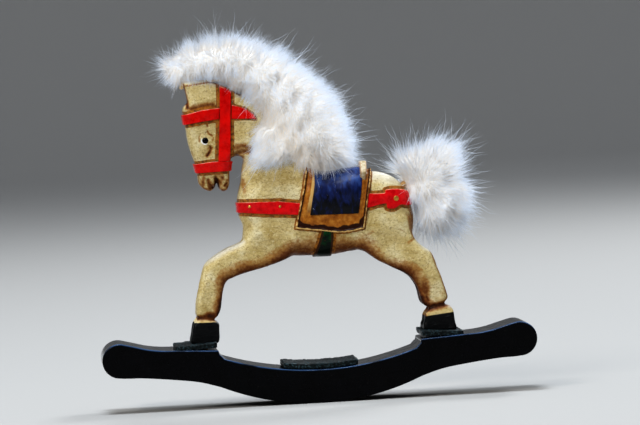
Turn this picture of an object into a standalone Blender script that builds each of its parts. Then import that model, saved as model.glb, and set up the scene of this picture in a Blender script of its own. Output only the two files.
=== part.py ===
"""Carved and painted rocking-horse ornament with a fur mane and tail.

Metres, +Z up. The origin is on the ground under the middle of the base, the horse looks
along -X, and its left side is -Y. Nothing moves inside the object: all of it rocks on the
round underside of its base.
"""
import math

import bmesh
import bpy
from mathutils import Matrix, Vector

# ---------------------------------------------------------------- driving dimensions
GAP = 0.0003                # clearance left between two glued or touching pieces

BASE_LENGTH = 0.200
BASE_WIDTH = 0.036
BOARD_DEPTH = 0.0154        # board at its thinnest, in the middle
ROCK_RADIUS = 0.114         # round underside
REST_FLAT = 0.010           # small flat in the middle of the underside
ROCK_REACH = 0.047          # half length of the round underside
HOLLOW_RADIUS = 0.136       # hollow top between the two seats
LOBE_RADIUS = 0.0079        # round ends of the board
LOBE_HEIGHT = 0.0243        # centre of those ends above the ground
EDGE_ROUND = 0.0010         # softened edges of the board

SLAT_LENGTH = 0.0200        # along X
SLAT_THICKNESS = 0.0024
SLAT_INSET = 0.0003         # slats are this much narrower than the board, each side
SLAT_TILT = math.radians(3.0)
SLAT_CENTRE = 0.0565        # front and rear slats, either side of the middle
SEAT_HEIGHT = 0.0272        # board top under the middle of those slats
MIDDLE_SLAT_LENGTH = 0.0346
BRAD_RADIUS = 0.0006
BRAD_LENGTH = 0.0070
BRAD_INSET = 0.0050         # from the side of the slat

LEG_HEIGHT = 0.0375         # top of the slats to the belly
LEG_WIDTH = 0.0085
LEG_SPACE = 0.0030          # between the left and the right leg
LEG_ROUND = 0.0012
FRONT_HOOF_X = -0.0523
HIND_HOOF_X = 0.0563
DOWEL_RADIUS = 0.00125
LEG_DOWEL_LENGTH = 0.0100
HOOF_DOWEL_LENGTH = 0.0100

CHEST_X = -0.0332
TRUNK_LENGTH = 0.0804
TRUNK_DEPTH = 0.0363
BODY_WIDTH = 0.0220
NECK_WIDTH = 0.0180
HEAD_WIDTH = 0.0170
HEAD_LENGTH = 0.0500
HEAD_DEPTH = 0.0260
POLL_RISE = 0.0818          # top of the head above the belly
FACE_X = -0.0569            # foremost point of the face
EYE_RADIUS = 0.0014

STRAP_THICKNESS = 0.0009
CLOTH_THICKNESS = 0.0013
SEAT_THICKNESS = 0.0017
CANTLE_THICKNESS = 0.0018
CANTLE_RISE = 0.0030
TACK_RADIUS = 0.0009
TACK_HEIGHT = 0.0006
HIDE_THICKNESS = 0.0010
PLUG_RADIUS = 0.0018
PLUG_LENGTH = 0.0110
MANE_HALF_WIDTH = 0.0190
TAIL_HALF_WIDTH = 0.0150

# ---------------------------------------------------------------- what follows from them
SLAT_MID = SEAT_HEIGHT + GAP + SLAT_THICKNESS
BELLY = SLAT_MID + LEG_HEIGHT
BACK = BELLY + TRUNK_DEPTH
RUMP_X = CHEST_X + TRUNK_LENGTH
POLL = BELLY + POLL_RISE
LEG_MIDDLE = (LEG_SPACE + LEG_WIDTH) / 2
RING_POINTS = 20

# ---------------------------------------------------------------- small helpers


def material(name, colour, roughness, metallic=0.0):
    made = bpy.data.materials.new(name)
    made.use_nodes = True
    shader = made.node_tree.nodes["Principled BSDF"]
    shader.inputs["Base Color"].default_value = (*colour, 1.0)
    shader.inputs["Roughness"].default_value = roughness
    shader.inputs["Metallic"].default_value = metallic
    return made


def object_from_bmesh(name, shape):
    bmesh.ops.recalc_face_normals(shape, faces=shape.faces)
    mesh = bpy.data.meshes.new(name)
    shape.to_mesh(mesh)
    shape.free()
    made = bpy.data.objects.new(name, mesh)
    bpy.context.scene.collection.objects.link(made)
    return made


def bake(target):
    """Turn the object's modifiers into its mesh."""
    depsgraph = bpy.context.evaluated_depsgraph_get()
    old = target.data
    target.data = bpy.data.meshes.new_from_object(target.evaluated_get(depsgraph))
    target.modifiers.clear()
    bpy.data.meshes.remove(old)


def combine(target, tool, operation):
    """Boolean the tool into the target and throw the tool away."""
    step = target.modifiers.new("combine", "BOOLEAN")
    step.operation = operation
    step.solver = "EXACT"
    step.object = tool
    bake(target)
    bpy.data.objects.remove(tool)
    return target


def finish_piece(target, finish, smooth=True):
    target.data.materials.clear()
    target.data.materials.append(finish)
    if smooth:
        target.data.shade_smooth()
        target.data.set_sharp_from_angle(angle=math.radians(35))
    return target


def bezier(start, handle_a, handle_b, end, steps):
    """Points of a cubic curve, without its first point."""
    points = []
    for i in range(1, steps + 1):
        t = i / steps
        s = 1 - t
        points.append(tuple(s ** 3 * p + 3 * s * s * t * a + 3 * s * t * t * b + t ** 3 * q
                            for p, a, b, q in zip(start, handle_a, handle_b, end)))
    return points


def arc(centre, radius, first, last, steps):
    """Points of an arc in the XZ plane; angles in degrees, from +X towards +Z."""
    points = []
    for i in range(steps + 1):
        angle = math.radians(first + (last - first) * i / steps)
        points.append((centre[0] + radius * math.cos(angle),
                       centre[1] + radius * math.sin(angle)))
    return points


def plate(name, outline, y_low, y_high):
    """A flat board: an outline in XZ, from y_low to y_high."""
    shape = bmesh.new()
    near = [shape.verts.new((x, y_low, z)) for x, z in outline]
    far = [shape.verts.new((x, y_high, z)) for x, z in outline]
    shape.faces.new(near)
    shape.faces.new(list(reversed(far)))
    count = len(outline)
    for i in range(count):
        j = (i + 1) % count
        shape.faces.new((near[i], far[i], far[j], near[j]))
    return object_from_bmesh(name, shape)


def rod(name, radius, low, high, sides=12):
    """A round rod between two points."""
    low, high = Vector(low), Vector(high)
    axis = high - low
    turn = axis.to_track_quat("Z", "Y").to_matrix().to_4x4()
    shape = bmesh.new()
    bmesh.ops.create_cone(shape, cap_ends=True, segments=sides, radius1=radius, radius2=radius,
                          depth=axis.length, matrix=Matrix.Translation((low + high) / 2) @ turn)
    return object_from_bmesh(name, shape)


def ring(front, back, half_width, roundness):
    """One cross-section: a squarish oval between two points of the XZ plane."""
    centre = [(a + b) / 2 for a, b in zip(front, back)]
    half = [(b - a) / 2 for a, b in zip(front, back)]
    points = []
    for i in range(RING_POINTS):
        angle = 2 * math.pi * (i + 0.5) / RING_POINTS
        c, s = math.cos(angle), math.sin(angle)
        across = math.copysign(abs(c) ** (2 / roundness), c) * half_width
        along = math.copysign(abs(s) ** (2 / roundness), s)
        points.append((centre[0] + half[0] * along, across, centre[1] + half[1] * along))
    return points


def loft(name, stations, roundness, grow=0.0):
    """Skin a row of cross-sections (front point, back point, half width), grown evenly."""
    sections = []
    last = len(stations) - 1
    for i, (front, back, half_width) in enumerate(stations):
        front, back = Vector(front), Vector(back)
        spread = (back - front).normalized() * grow
        front, back = front - spread, back + spread
        if i in (0, last):
            neighbour = stations[1 if i == 0 else last - 1]
            inward = (Vector(neighbour[0]) + Vector(neighbour[1]) - front - back) / 2
            outward = Vector((-spread.y, spread.x))
            if outward.dot(inward) > 0:
                outward = -outward
            front, back = front + outward, back + outward
        sections.append(ring(front, back, half_width + grow, roundness))
    shape = bmesh.new()
    rows = [[shape.verts.new(point) for point in section] for section in sections]
    for row, following in zip(rows, rows[1:]):
        for i in range(RING_POINTS):
            j = (i + 1) % RING_POINTS
            shape.faces.new((row[i], row[j], following[j], following[i]))
    shape.faces.new(rows[0])
    shape.faces.new(rows[-1])
    return object_from_bmesh(name, shape)


# ---------------------------------------------------------------- base


def hollow_height(x):
    """Top of the board between the two seats."""
    return BOARD_DEPTH + HOLLOW_RADIUS - math.sqrt(HOLLOW_RADIUS ** 2 - x * x)


def seat_height(x):
    """Board top under the tilted front and rear slats."""
    return SEAT_HEIGHT + (abs(x) - SLAT_CENTRE) * math.tan(SLAT_TILT)


def slat_top(x):
    return seat_height(x) + GAP + SLAT_THICKNESS / math.cos(SLAT_TILT)


def half_board():
    """Outline of the +X half of the board, from the ground up and round to the hollow."""
    flat = REST_FLAT / 2
    rise = math.sqrt(ROCK_RADIUS ** 2 - flat ** 2)
    points = []
    steps = 7
    for i in range(steps + 1):
        x = flat + (ROCK_REACH - flat) * i / steps
        points.append((x, rise - math.sqrt(ROCK_RADIUS ** 2 - x * x)))
    lobe = (BASE_LENGTH / 2 - LOBE_RADIUS, LOBE_HEIGHT)
    start = points[-1]
    slope = math.asin(ROCK_REACH / ROCK_RADIUS)
    span = lobe[0] - start[0]
    low = (lobe[0], lobe[1] - LOBE_RADIUS)
    reach_a, reach_b = 0.20 * span, 0.53 * span
    points += bezier(start, (start[0] + reach_a * math.cos(slope), start[1] + reach_a * math.sin(slope)),
                     (low[0] - reach_b, low[1] - 0.06 * reach_b), low, 7)[:-1]
    points += arc(lobe, LOBE_RADIUS, -90, 100, 10)
    seat_out = SLAT_CENTRE + SLAT_LENGTH / 2
    seat_in = SLAT_CENTRE - SLAT_LENGTH / 2
    start, end = points[-1], (seat_out, seat_height(seat_out))
    span = start[0] - end[0]
    points += bezier(start, (start[0] - 0.29 * span, start[1] - 0.05 * span),
                     (end[0] + 0.29 * span, end[1] + 0.01 * span), end, 5)
    shoulder = 0.0015
    points.append((seat_in, seat_height(seat_in)))
    points.append((seat_in - 0.0002, hollow_height(seat_in) + shoulder))
    points.append((seat_in - shoulder, hollow_height(seat_in - shoulder)))
    steps = 6
    edge = seat_in - 2 * shoulder
    points += [(edge * (steps - i) / steps, hollow_height(edge * (steps - i) / steps))
               for i in range(steps)]
    return points


def dowel_places():
    """Middle of each hoof on its slat."""
    return [(x, side * LEG_MIDDLE) for x in (FRONT_HOOF_X, HIND_HOOF_X) for side in (-1, 1)]


def hoof_dowel(name, x, y, clearance):
    top = slat_top(x) + HOOF_DOWEL_LENGTH * 0.4
    return rod(name, DOWEL_RADIUS + clearance, (x, y, top - HOOF_DOWEL_LENGTH - clearance),
               (x, y, top + clearance))


def brad_places():
    """Two brads to a slat, near its ends across the board: x, y and slat top."""
    y = BASE_WIDTH / 2 - SLAT_INSET - BRAD_INSET
    tops = ((-SLAT_CENTRE, slat_top(SLAT_CENTRE)),
            (0.0, hollow_height(0) + GAP + SLAT_THICKNESS),
            (SLAT_CENTRE, slat_top(SLAT_CENTRE)))
    return [(x, side * y, top) for x, top in tops for side in (-1, 1)]


def brad(name, x, y, top, clearance):
    low = top - GAP - BRAD_LENGTH
    high = top - GAP if clearance == 0 else top + 2 * GAP
    return rod(name, BRAD_RADIUS + clearance, (x, y, low - clearance), (x, y, high), 8)


def drill_base(target):
    """Bore the holes for the hoof dowels and the brads that reach this piece."""
    low = min(v.co.x for v in target.data.vertices)
    high = max(v.co.x for v in target.data.vertices)
    for x, y in dowel_places():
        if low < x < high:
            combine(target, hoof_dowel("bore", x, y, GAP), "DIFFERENCE")
    for x, y, top in brad_places():
        if low < x < high:
            combine(target, brad("bore", x, y, top, GAP), "DIFFERENCE")
    return target


def make_rocker_board():
    half = half_board()
    mirrored = [(-x, z) for x, z in reversed(half) if x > 1e-6]
    board = plate("rocker_board", half + mirrored, -BASE_WIDTH / 2, BASE_WIDTH / 2)
    edges = board.modifiers.new("edges", "BEVEL")
    edges.width = EDGE_ROUND
    edges.segments = 1
    edges.limit_method = "ANGLE"
    edges.angle_limit = math.radians(60)
    bake(board)
    return finish_piece(drill_base(board), black_gloss)


def make_slats():
    half = BASE_WIDTH / 2 - SLAT_INSET
    for name, side in (("front_slat", -1), ("rear_slat", 1)):
        x_in = side * (SLAT_CENTRE - SLAT_LENGTH / 2 + GAP)
        x_out = side * (SLAT_CENTRE + SLAT_LENGTH / 2)
        outline = [(x_in, seat_height(x_in) + GAP), (x_out, seat_height(x_out) + GAP),
                   (x_out, slat_top(x_out)), (x_in, slat_top(x_in))]
        finish_piece(drill_base(plate(name, outline, -half, half)), black_rough, smooth=False)
    steps = 6
    reach = MIDDLE_SLAT_LENGTH / 2
    across = [-reach + 2 * reach * i / steps for i in range(steps + 1)]
    outline = [(x, hollow_height(x) + GAP) for x in across]
    outline += [(x, hollow_height(x) + GAP + SLAT_THICKNESS) for x in reversed(across)]
    finish_piece(drill_base(plate("middle_slat", outline, -half, half)), black_rough, smooth=False)


def make_base_fasteners():
    for number, (x, y) in enumerate(dowel_places(), 1):
        finish_piece(hoof_dowel(f"hoof_dowel_{number}", x, y, 0), raw_wood)
    for number, (x, y, top) in enumerate(brad_places(), 1):
        finish_piece(brad(f"slat_brad_{number}", x, y, top, 0), steel)


# ---------------------------------------------------------------- horse

TRUNK_SECTIONS = (          # share of the length, of the depth (low, high), of the width
    (0.000, 0.36, 0.66, 0.52), (0.020, 0.20, 0.80, 0.74), (0.080, 0.06, 0.94, 0.92),
    (0.220, 0.01, 0.99, 1.00), (0.450, 0.00, 0.98, 1.00), (0.700, 0.02, 1.02, 1.00),
    (0.820, 0.03, 1.00, 0.97), (0.910, 0.05, 0.93, 0.90), (0.965, 0.08, 0.80, 0.80),
    (1.000, 0.20, 0.58, 0.56))
NECK_SECTIONS = (           # front and back points: shares of the neck box; share of the width
    ((-0.055, -0.10), (0.737, -0.02), 1.10), ((0.014, 0.16), (0.677, 0.25), 1.06),
    ((0.060, 0.27), (0.636, 0.38), 1.02), ((-0.051, 0.33), (0.576, 0.52), 1.00),
    ((-0.049, 0.62), (0.498, 0.80), 0.94), ((-0.065, 0.78), (0.360, 0.95), 0.86),
    ((-0.131, 0.88), (0.205, 0.985), 0.60))
HEAD_SECTIONS = (           # share of the length down, front and back shares of the depth, width
    (0.00, 0.06, 0.76, 0.72), (0.03, 0.03, 0.86, 0.84), (0.15, 0.06, 1.00, 0.96),
    (0.24, 0.01, 1.04, 1.00), (0.37, 0.02, 1.06, 1.00), (0.54, 0.07, 1.00, 0.96),
    (0.66, 0.13, 0.90, 0.84), (0.72, 0.15, 0.82, 0.78), (0.83, 0.19, 0.79, 0.76),
    (0.93, 0.24, 0.77, 0.72), (0.98, 0.32, 0.72, 0.58), (1.00, 0.40, 0.66, 0.40))
TRUNK_ROUNDNESS = 2.6
NECK_ROUNDNESS = 2.4
HEAD_ROUNDNESS = 2.8


def trunk_stations():
    stations = []
    for along, low, high, width in TRUNK_SECTIONS:
        x = CHEST_X + TRUNK_LENGTH * along
        stations.append(((x, BELLY + TRUNK_DEPTH * low), (x, BELLY + TRUNK_DEPTH * high),
                         BODY_WIDTH / 2 * width))
    return stations


def neck_point(share):
    """A point of the slanted box that the neck fills, from the chest up to the poll."""
    length, height = TRUNK_LENGTH * 0.5, POLL - BACK
    chest, poll = CHEST_X + 0.003, FACE_X + HEAD_DEPTH * 0.80
    return (chest + (poll - chest) * share[1] + length * share[0],
            BACK - 0.002 + height * share[1])


def neck_stations():
    return [(neck_point(front), neck_point(back), NECK_WIDTH / 2 * width)
            for front, back, width in NECK_SECTIONS]


def head_stations():
    stations = []
    for down, front, back, width in HEAD_SECTIONS:
        z = POLL - HEAD_LENGTH * down
        stations.append(((FACE_X + HEAD_DEPTH * front, z), (FACE_X + HEAD_DEPTH * back, z),
                         HEAD_WIDTH / 2 * width))
    return stations


def trunk_form(name, grow=0.0):
    return loft(name, trunk_stations(), TRUNK_ROUNDNESS, grow)


def head_form(name, grow=0.0):
    return loft(name, head_stations(), HEAD_ROUNDNESS, grow)


def horse_form(name, grow=0.0):
    """Trunk, neck and head as one form, grown evenly by the given distance."""
    form = trunk_form(name, grow)
    combine(form, loft("neck", neck_stations(), NECK_ROUNDNESS, grow), "UNION")
    return combine(form, head_form("head", grow), "UNION")


def side_of(stations, along_z, where, height, roundness):
    """Half width of a lofted form at a point of its side, seen along Y."""
    key = 1 if along_z else 0
    other = 1 - key
    rows = sorted(stations, key=lambda s: s[0][key])
    for (f0, b0, w0), (f1, b1, w1) in zip(rows, rows[1:]):
        if f0[key] <= where <= f1[key]:
            t = (where - f0[key]) / (f1[key] - f0[key])
            low = f0[other] + (f1[other] - f0[other]) * t
            high = b0[other] + (b1[other] - b0[other]) * t
            width = w0 + (w1 - w0) * t
            share = abs(height - (low + high) / 2) / ((high - low) / 2)
            return width * (1 - share ** roundness) ** (1 / roundness)
    raise ValueError("that point is not on the form")


def trunk_side(x, z):
    return side_of(trunk_stations(), False, x, z, TRUNK_ROUNDNESS)


def head_side(x, z):
    return side_of(head_stations(), True, z, x, HEAD_ROUNDNESS)


FRONT_LEG = (               # share of the way hoof to shoulder, share of the way slat to belly
    (-0.172, 0.0), (-0.152, 0.14), (-0.132, 0.25), (-0.105, 0.31), (-0.080, 0.40),
    (-0.075, 0.50), (-0.030, 0.66), (0.015, 0.83), (0.065, 0.96), (0.150, 1.03),
    (0.370, 1.15), (0.570, 1.23), (0.700, 1.36), (1.000, 1.36), (1.150, 1.02),
    (1.000, 0.935), (0.870, 0.905), (0.660, 0.855), (0.450, 0.805), (0.325, 0.755),
    (0.275, 0.65), (0.245, 0.54), (0.220, 0.40), (0.200, 0.31), (0.165, 0.285),
    (0.190, 0.24), (0.190, 0.15), (0.170, 0.0))
HIND_LEG = (                # share of the way hoof to hip, share of the way slat to belly
    (-0.265, 0.0), (-0.250, 0.14), (-0.235, 0.25), (-0.160, 0.315), (-0.145, 0.36),
    (-0.175, 0.42), (-0.145, 0.50), (-0.075, 0.66), (-0.010, 0.81), (0.055, 0.93),
    (0.115, 0.99), (0.245, 1.055), (0.370, 1.10), (0.420, 1.36), (0.900, 1.36), (1.150, 1.05),
    (1.020, 0.94), (0.940, 0.865), (0.820, 0.825), (0.665, 0.765), (0.525, 0.71),
    (0.420, 0.63), (0.345, 0.52), (0.310, 0.42), (0.285, 0.34), (0.195, 0.27),
    (0.250, 0.20), (0.265, 0.0))
SHOULDER_X = CHEST_X + 0.0167
HIP_X = RUMP_X - 0.0192


def leg_outline(shares, hoof_x, joint_x):
    points = []
    for along, up in shares:
        x = hoof_x + (joint_x - hoof_x) * along
        foot = slat_top(x) + GAP
        points.append((x, foot + (BELLY - foot) * up))
    return points


LEGS = (("front_leg", FRONT_LEG, FRONT_HOOF_X, SHOULDER_X, SHOULDER_X - 0.0060),
        ("hind_leg", HIND_LEG, HIND_HOOF_X, HIP_X, HIP_X + 0.0105))


def leg_dowel(name, x, y, clearance):
    low = BELLY - LEG_DOWEL_LENGTH * 0.40
    return rod(name, DOWEL_RADIUS + clearance, (x, y, low - clearance),
               (x, y, low + LEG_DOWEL_LENGTH + clearance))


def make_legs():
    for name, shares, hoof_x, joint_x, dowel_x in LEGS:
        outline = leg_outline(shares, hoof_x, joint_x)
        for side_name, side in (("left", -1), ("right", 1)):
            y = side * LEG_MIDDLE
            leg = plate(f"{name}_{side_name}", outline, y - LEG_WIDTH / 2, y + LEG_WIDTH / 2)
            edges = leg.modifiers.new("edges", "BEVEL")
            edges.width = LEG_ROUND
            edges.segments = 1
            edges.limit_method = "ANGLE"
            edges.angle_limit = math.radians(60)
            bake(leg)
            combine(leg, horse_form("form", GAP), "DIFFERENCE")
            combine(leg, leg_dowel("bore", dowel_x, y, GAP), "DIFFERENCE")
            combine(leg, hoof_dowel("bore", hoof_x, y, GAP), "DIFFERENCE")
            finish_piece(leg, cream_paint)
            finish_piece(leg_dowel(f"{name}_dowel_{side_name}", dowel_x, y, 0), raw_wood)


def tail_root():
    """Where the tail peg enters the rump, and the direction it sticks out in."""
    return Vector((RUMP_X - 0.0040, 0, BACK - 0.0070)), Vector((0.80, 0, 0.60))


def tail_peg(name, clearance):
    root, out = tail_root()
    low = root - out * (PLUG_LENGTH * 0.6 + clearance)
    return rod(name, PLUG_RADIUS + clearance, low, root + out * (PLUG_LENGTH * 0.4 + clearance))


def eye_place(side, clearance=0.0):
    """Centre of the eye bead: part sunk in the side of the head."""
    x, z = FACE_X + HEAD_DEPTH * 0.38, POLL - HEAD_LENGTH * 0.525
    return x, side * (head_side(x, z) - EYE_RADIUS * 0.15), z


def make_body():
    body = horse_form("body")
    for leg in LEGS:
        for side in (-1, 1):
            combine(body, leg_dowel("bore", leg[4], side * LEG_MIDDLE, GAP), "DIFFERENCE")
    for side in (-1, 1):
        x, y, z = eye_place(side)
        inner = y - side * (EYE_RADIUS + GAP)
        outer = y + side * 4 * EYE_RADIUS
        combine(body, rod("socket", EYE_RADIUS + GAP, (x, inner, z), (x, outer, z)), "DIFFERENCE")
    combine(body, tail_peg("bore", GAP), "DIFFERENCE")
    finish_piece(body, cream_paint)
    for name, side in (("left_eye", -1), ("right_eye", 1)):
        shape = bmesh.new()
        bmesh.ops.create_uvsphere(shape, u_segments=12, v_segments=8, radius=EYE_RADIUS,
                                  matrix=Matrix.Translation(eye_place(side)))
        finish_piece(object_from_bmesh(name, shape), black_gloss)
    finish_piece(tail_peg("tail_plug", 0), raw_wood)


# ---------------------------------------------------------------- tack


def wrapped(name, outline, low, thickness, finish, y_low=-1.0, y_high=1.0, form=horse_form):
    """A layer that lies on the horse inside a side outline, from low to low + thickness."""
    piece = plate(name, outline, y_low, y_high)
    combine(piece, form("outer", low + thickness), "INTERSECT")
    combine(piece, form("inner", low), "DIFFERENCE")
    return finish_piece(piece, finish)


BRIDLE_WIDTH = 0.0052                           # width of the bridle straps
BROW_Z = POLL - 0.0144                          # middle of the two cross bands
NOSE_Z = POLL - 0.0384
CHEEK_TOP_X, CHEEK_LOW_X = FACE_X + HEAD_DEPTH * 0.68, FACE_X + HEAD_DEPTH * 0.608
CHEEK_TOP_Z, CHEEK_LOW_Z = POLL - 0.0030, NOSE_Z + BRIDLE_WIDTH / 2 + GAP
NECK_STRAP_LENGTH = 0.0095
STRAP_APART = HEAD_WIDTH * 0.25                 # half the space between left and right straps


def cheek_x(z):
    """Front edge of the cheek straps."""
    return CHEEK_LOW_X + (CHEEK_TOP_X - CHEEK_LOW_X) * (z - CHEEK_LOW_Z) / (CHEEK_TOP_Z - CHEEK_LOW_Z)


NECK_STRAP_START = cheek_x(BROW_Z) + BRIDLE_WIDTH + 2 * GAP
NECK_STRAP_END = NECK_STRAP_START + NECK_STRAP_LENGTH


def make_bridle():
    far = HEAD_WIDTH * 3
    half = BRIDLE_WIDTH / 2
    cheek = [(CHEEK_LOW_X, CHEEK_LOW_Z), (CHEEK_LOW_X + BRIDLE_WIDTH, CHEEK_LOW_Z),
             (CHEEK_TOP_X + BRIDLE_WIDTH, CHEEK_TOP_Z), (CHEEK_TOP_X, CHEEK_TOP_Z)]
    rear = [(NECK_STRAP_START, BROW_Z - 0.0030), (NECK_STRAP_END, BROW_Z - 0.0022),
            (NECK_STRAP_END, BROW_Z - 0.0004), (NECK_STRAP_START, BROW_Z + 0.0030)]
    for side_name, low, high in (("left", -far, -STRAP_APART), ("right", STRAP_APART, far)):
        wrapped(f"cheek_strap_{side_name}", cheek, GAP, STRAP_THICKNESS, red_paint, low, high)
        wrapped(f"neck_strap_{side_name}", rear, GAP, STRAP_THICKNESS, red_paint, low, high)
    front, back, slope = FACE_X - 0.010, FACE_X + HEAD_DEPTH, 0.0016
    low_x, high_x = cheek_x(BROW_Z - half) - GAP, cheek_x(BROW_Z + half) - GAP
    wrapped("browband", [(front, BROW_Z - half - slope), (low_x, BROW_Z - half + slope / 2),
                         (high_x, BROW_Z + half + slope / 2), (front, BROW_Z + half - slope)],
            GAP, STRAP_THICKNESS, red_paint)
    wrapped("noseband", [(front, NOSE_Z - half), (back, NOSE_Z - half),
                         (back, NOSE_Z + half), (front, NOSE_Z + half)],
            GAP, STRAP_THICKNESS, red_paint, form=head_form)


STRAP_MIDDLE = BELLY + TRUNK_DEPTH * 0.66       # height of the breast and crupper straps
CLOTH_FRONT_TOP = CHEST_X + TRUNK_LENGTH * 0.390
CLOTH_FRONT_LOW = CHEST_X + TRUNK_LENGTH * 0.315
CLOTH_REAR_TOP = CHEST_X + TRUNK_LENGTH * 0.760
CLOTH_REAR_LOW = CHEST_X + TRUNK_LENGTH * 0.700
CLOTH_LOW = BELLY + TRUNK_DEPTH * 0.30


def cloth_edge(z, low, high):
    """X of a sloping edge of the saddle cloth at height z."""
    return low + (high - low) * (z - CLOTH_LOW) / (BACK - CLOTH_LOW)


def make_body_straps():
    half = 0.0026                               # half width of the breast strap
    front = CHEST_X - 0.010

    def at_cloth(z, front_edge):
        """The end of a strap that stops just clear of the saddle cloth."""
        if front_edge:
            return cloth_edge(z, CLOTH_FRONT_LOW, CLOTH_FRONT_TOP) - 2 * GAP, z
        return cloth_edge(z, CLOTH_REAR_LOW, CLOTH_REAR_TOP) + 2 * GAP, z

    wrapped("breast_strap", [(front, STRAP_MIDDLE - half),
                             at_cloth(STRAP_MIDDLE - half - 0.0014, True),
                             at_cloth(STRAP_MIDDLE + half - 0.0014, True),
                             (front, STRAP_MIDDLE + half)], GAP, STRAP_THICKNESS, red_paint)
    wide = cloth_edge(STRAP_MIDDLE, CLOTH_REAR_LOW, CLOTH_REAR_TOP) + 0.0090
    rear = RUMP_X + 0.010
    crupper = wrapped("crupper_strap", [at_cloth(STRAP_MIDDLE - 0.0028, False), (wide, STRAP_MIDDLE - 0.0022),
                              (wide, STRAP_MIDDLE - 0.0045), (RUMP_X - 0.0063, STRAP_MIDDLE - 0.0030),
                              (rear, STRAP_MIDDLE - 0.0030), (rear, STRAP_MIDDLE + 0.0005),
                              (RUMP_X - 0.0035, STRAP_MIDDLE + 0.0036),
                              (wide, STRAP_MIDDLE + 0.0043), (wide, STRAP_MIDDLE + 0.0030),
                              at_cloth(STRAP_MIDDLE + 0.0030, False)],
                      GAP, STRAP_THICKNESS, red_paint)
    combine(crupper, tail_peg("bore", GAP), "DIFFERENCE")
    places = (("breast_tack", CHEST_X + 0.0185, STRAP_MIDDLE - 0.0007),
              ("chest_tack", CHEST_X + 0.0050, STRAP_MIDDLE),
              ("crupper_tack", RUMP_X - 0.0085, STRAP_MIDDLE))
    for name, x, z in places:
        for side_name, side in (("left", -1), ("right", 1)):
            make_tack(f"{name}_{side_name}", x, z, side)


def make_tack(name, x, z, side):
    """A low domed tack head that stands on a strap, square to the side it lies on."""
    probe = 0.0005
    y = trunk_side(x, z) + GAP + STRAP_THICKNESS
    dy_dx = (trunk_side(x + probe, z) - trunk_side(x - probe, z)) / (2 * probe)
    dy_dz = (trunk_side(x, z + probe) - trunk_side(x, z - probe)) / (2 * probe)
    out = Vector((-dy_dx, 1.0, -dy_dz)).normalized()
    place = Vector((x, y, z)) + out * 1.3 * GAP
    shape = bmesh.new()
    bmesh.ops.create_cone(shape, cap_ends=True, segments=10, radius1=TACK_RADIUS,
                          radius2=TACK_RADIUS * 0.45, depth=TACK_HEIGHT)
    turn = out.to_track_quat("Z", "Y").to_matrix().to_4x4()
    bmesh.ops.transform(shape, verts=shape.verts, matrix=Matrix.Translation(
        place + out * TACK_HEIGHT / 2) @ turn)
    if side < 0:
        bmesh.ops.transform(shape, verts=shape.verts, matrix=Matrix.Scale(-1, 4, (0, 1, 0)))
    finish_piece(object_from_bmesh(name, shape), brass)


def make_saddle():
    high = BACK + 0.02

    def side_outline(inset, low_z, rear_inset):
        """The saddle's side outline, drawn in by the inset at the front and the rear."""
        front_low = cloth_edge(low_z, CLOTH_FRONT_LOW, CLOTH_FRONT_TOP) + inset
        front_high = cloth_edge(high, CLOTH_FRONT_LOW, CLOTH_FRONT_TOP) + inset
        rear_low = cloth_edge(low_z, CLOTH_REAR_LOW, CLOTH_REAR_TOP) - rear_inset
        rear_high = cloth_edge(high, CLOTH_REAR_LOW, CLOTH_REAR_TOP) - rear_inset
        return [(front_low, low_z), ((front_low + rear_low) / 2, low_z - 0.0008),
                (rear_low, low_z), (rear_high, high), (front_high, high)]

    border = 0.0045
    wrapped("saddle_cloth", side_outline(0.0, CLOTH_LOW, 0.0), GAP, CLOTH_THICKNESS, brown_paint)
    seat_low = 2 * GAP + CLOTH_THICKNESS
    wrapped("saddle_seat", side_outline(border, CLOTH_LOW + 2 * border, border), seat_low,
            SEAT_THICKNESS, navy_paint)
    edge = [(cloth_edge(z, CLOTH_REAR_LOW, CLOTH_REAR_TOP) - border + 2 * GAP + thick, z)
            for z, thick in ((BACK - 0.0060, 0), (BACK - 0.0060, CANTLE_THICKNESS),
                             (high, CANTLE_THICKNESS), (high, 0))]
    wrapped("cantle", edge, seat_low, SEAT_THICKNESS + CANTLE_RISE, cream_paint)
    middle = (CLOTH_FRONT_LOW + CLOTH_REAR_LOW) / 2
    top, low = CLOTH_LOW - 0.0008 - 2 * GAP, BELLY - 0.01
    strap = [(middle - 0.0062, low), (middle + 0.0030, low), (middle + 0.0026, top),
             (middle - 0.0040, top)]
    wrapped("girth_strap", strap, GAP, STRAP_THICKNESS, green_paint)


# ---------------------------------------------------------------- fur


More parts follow.
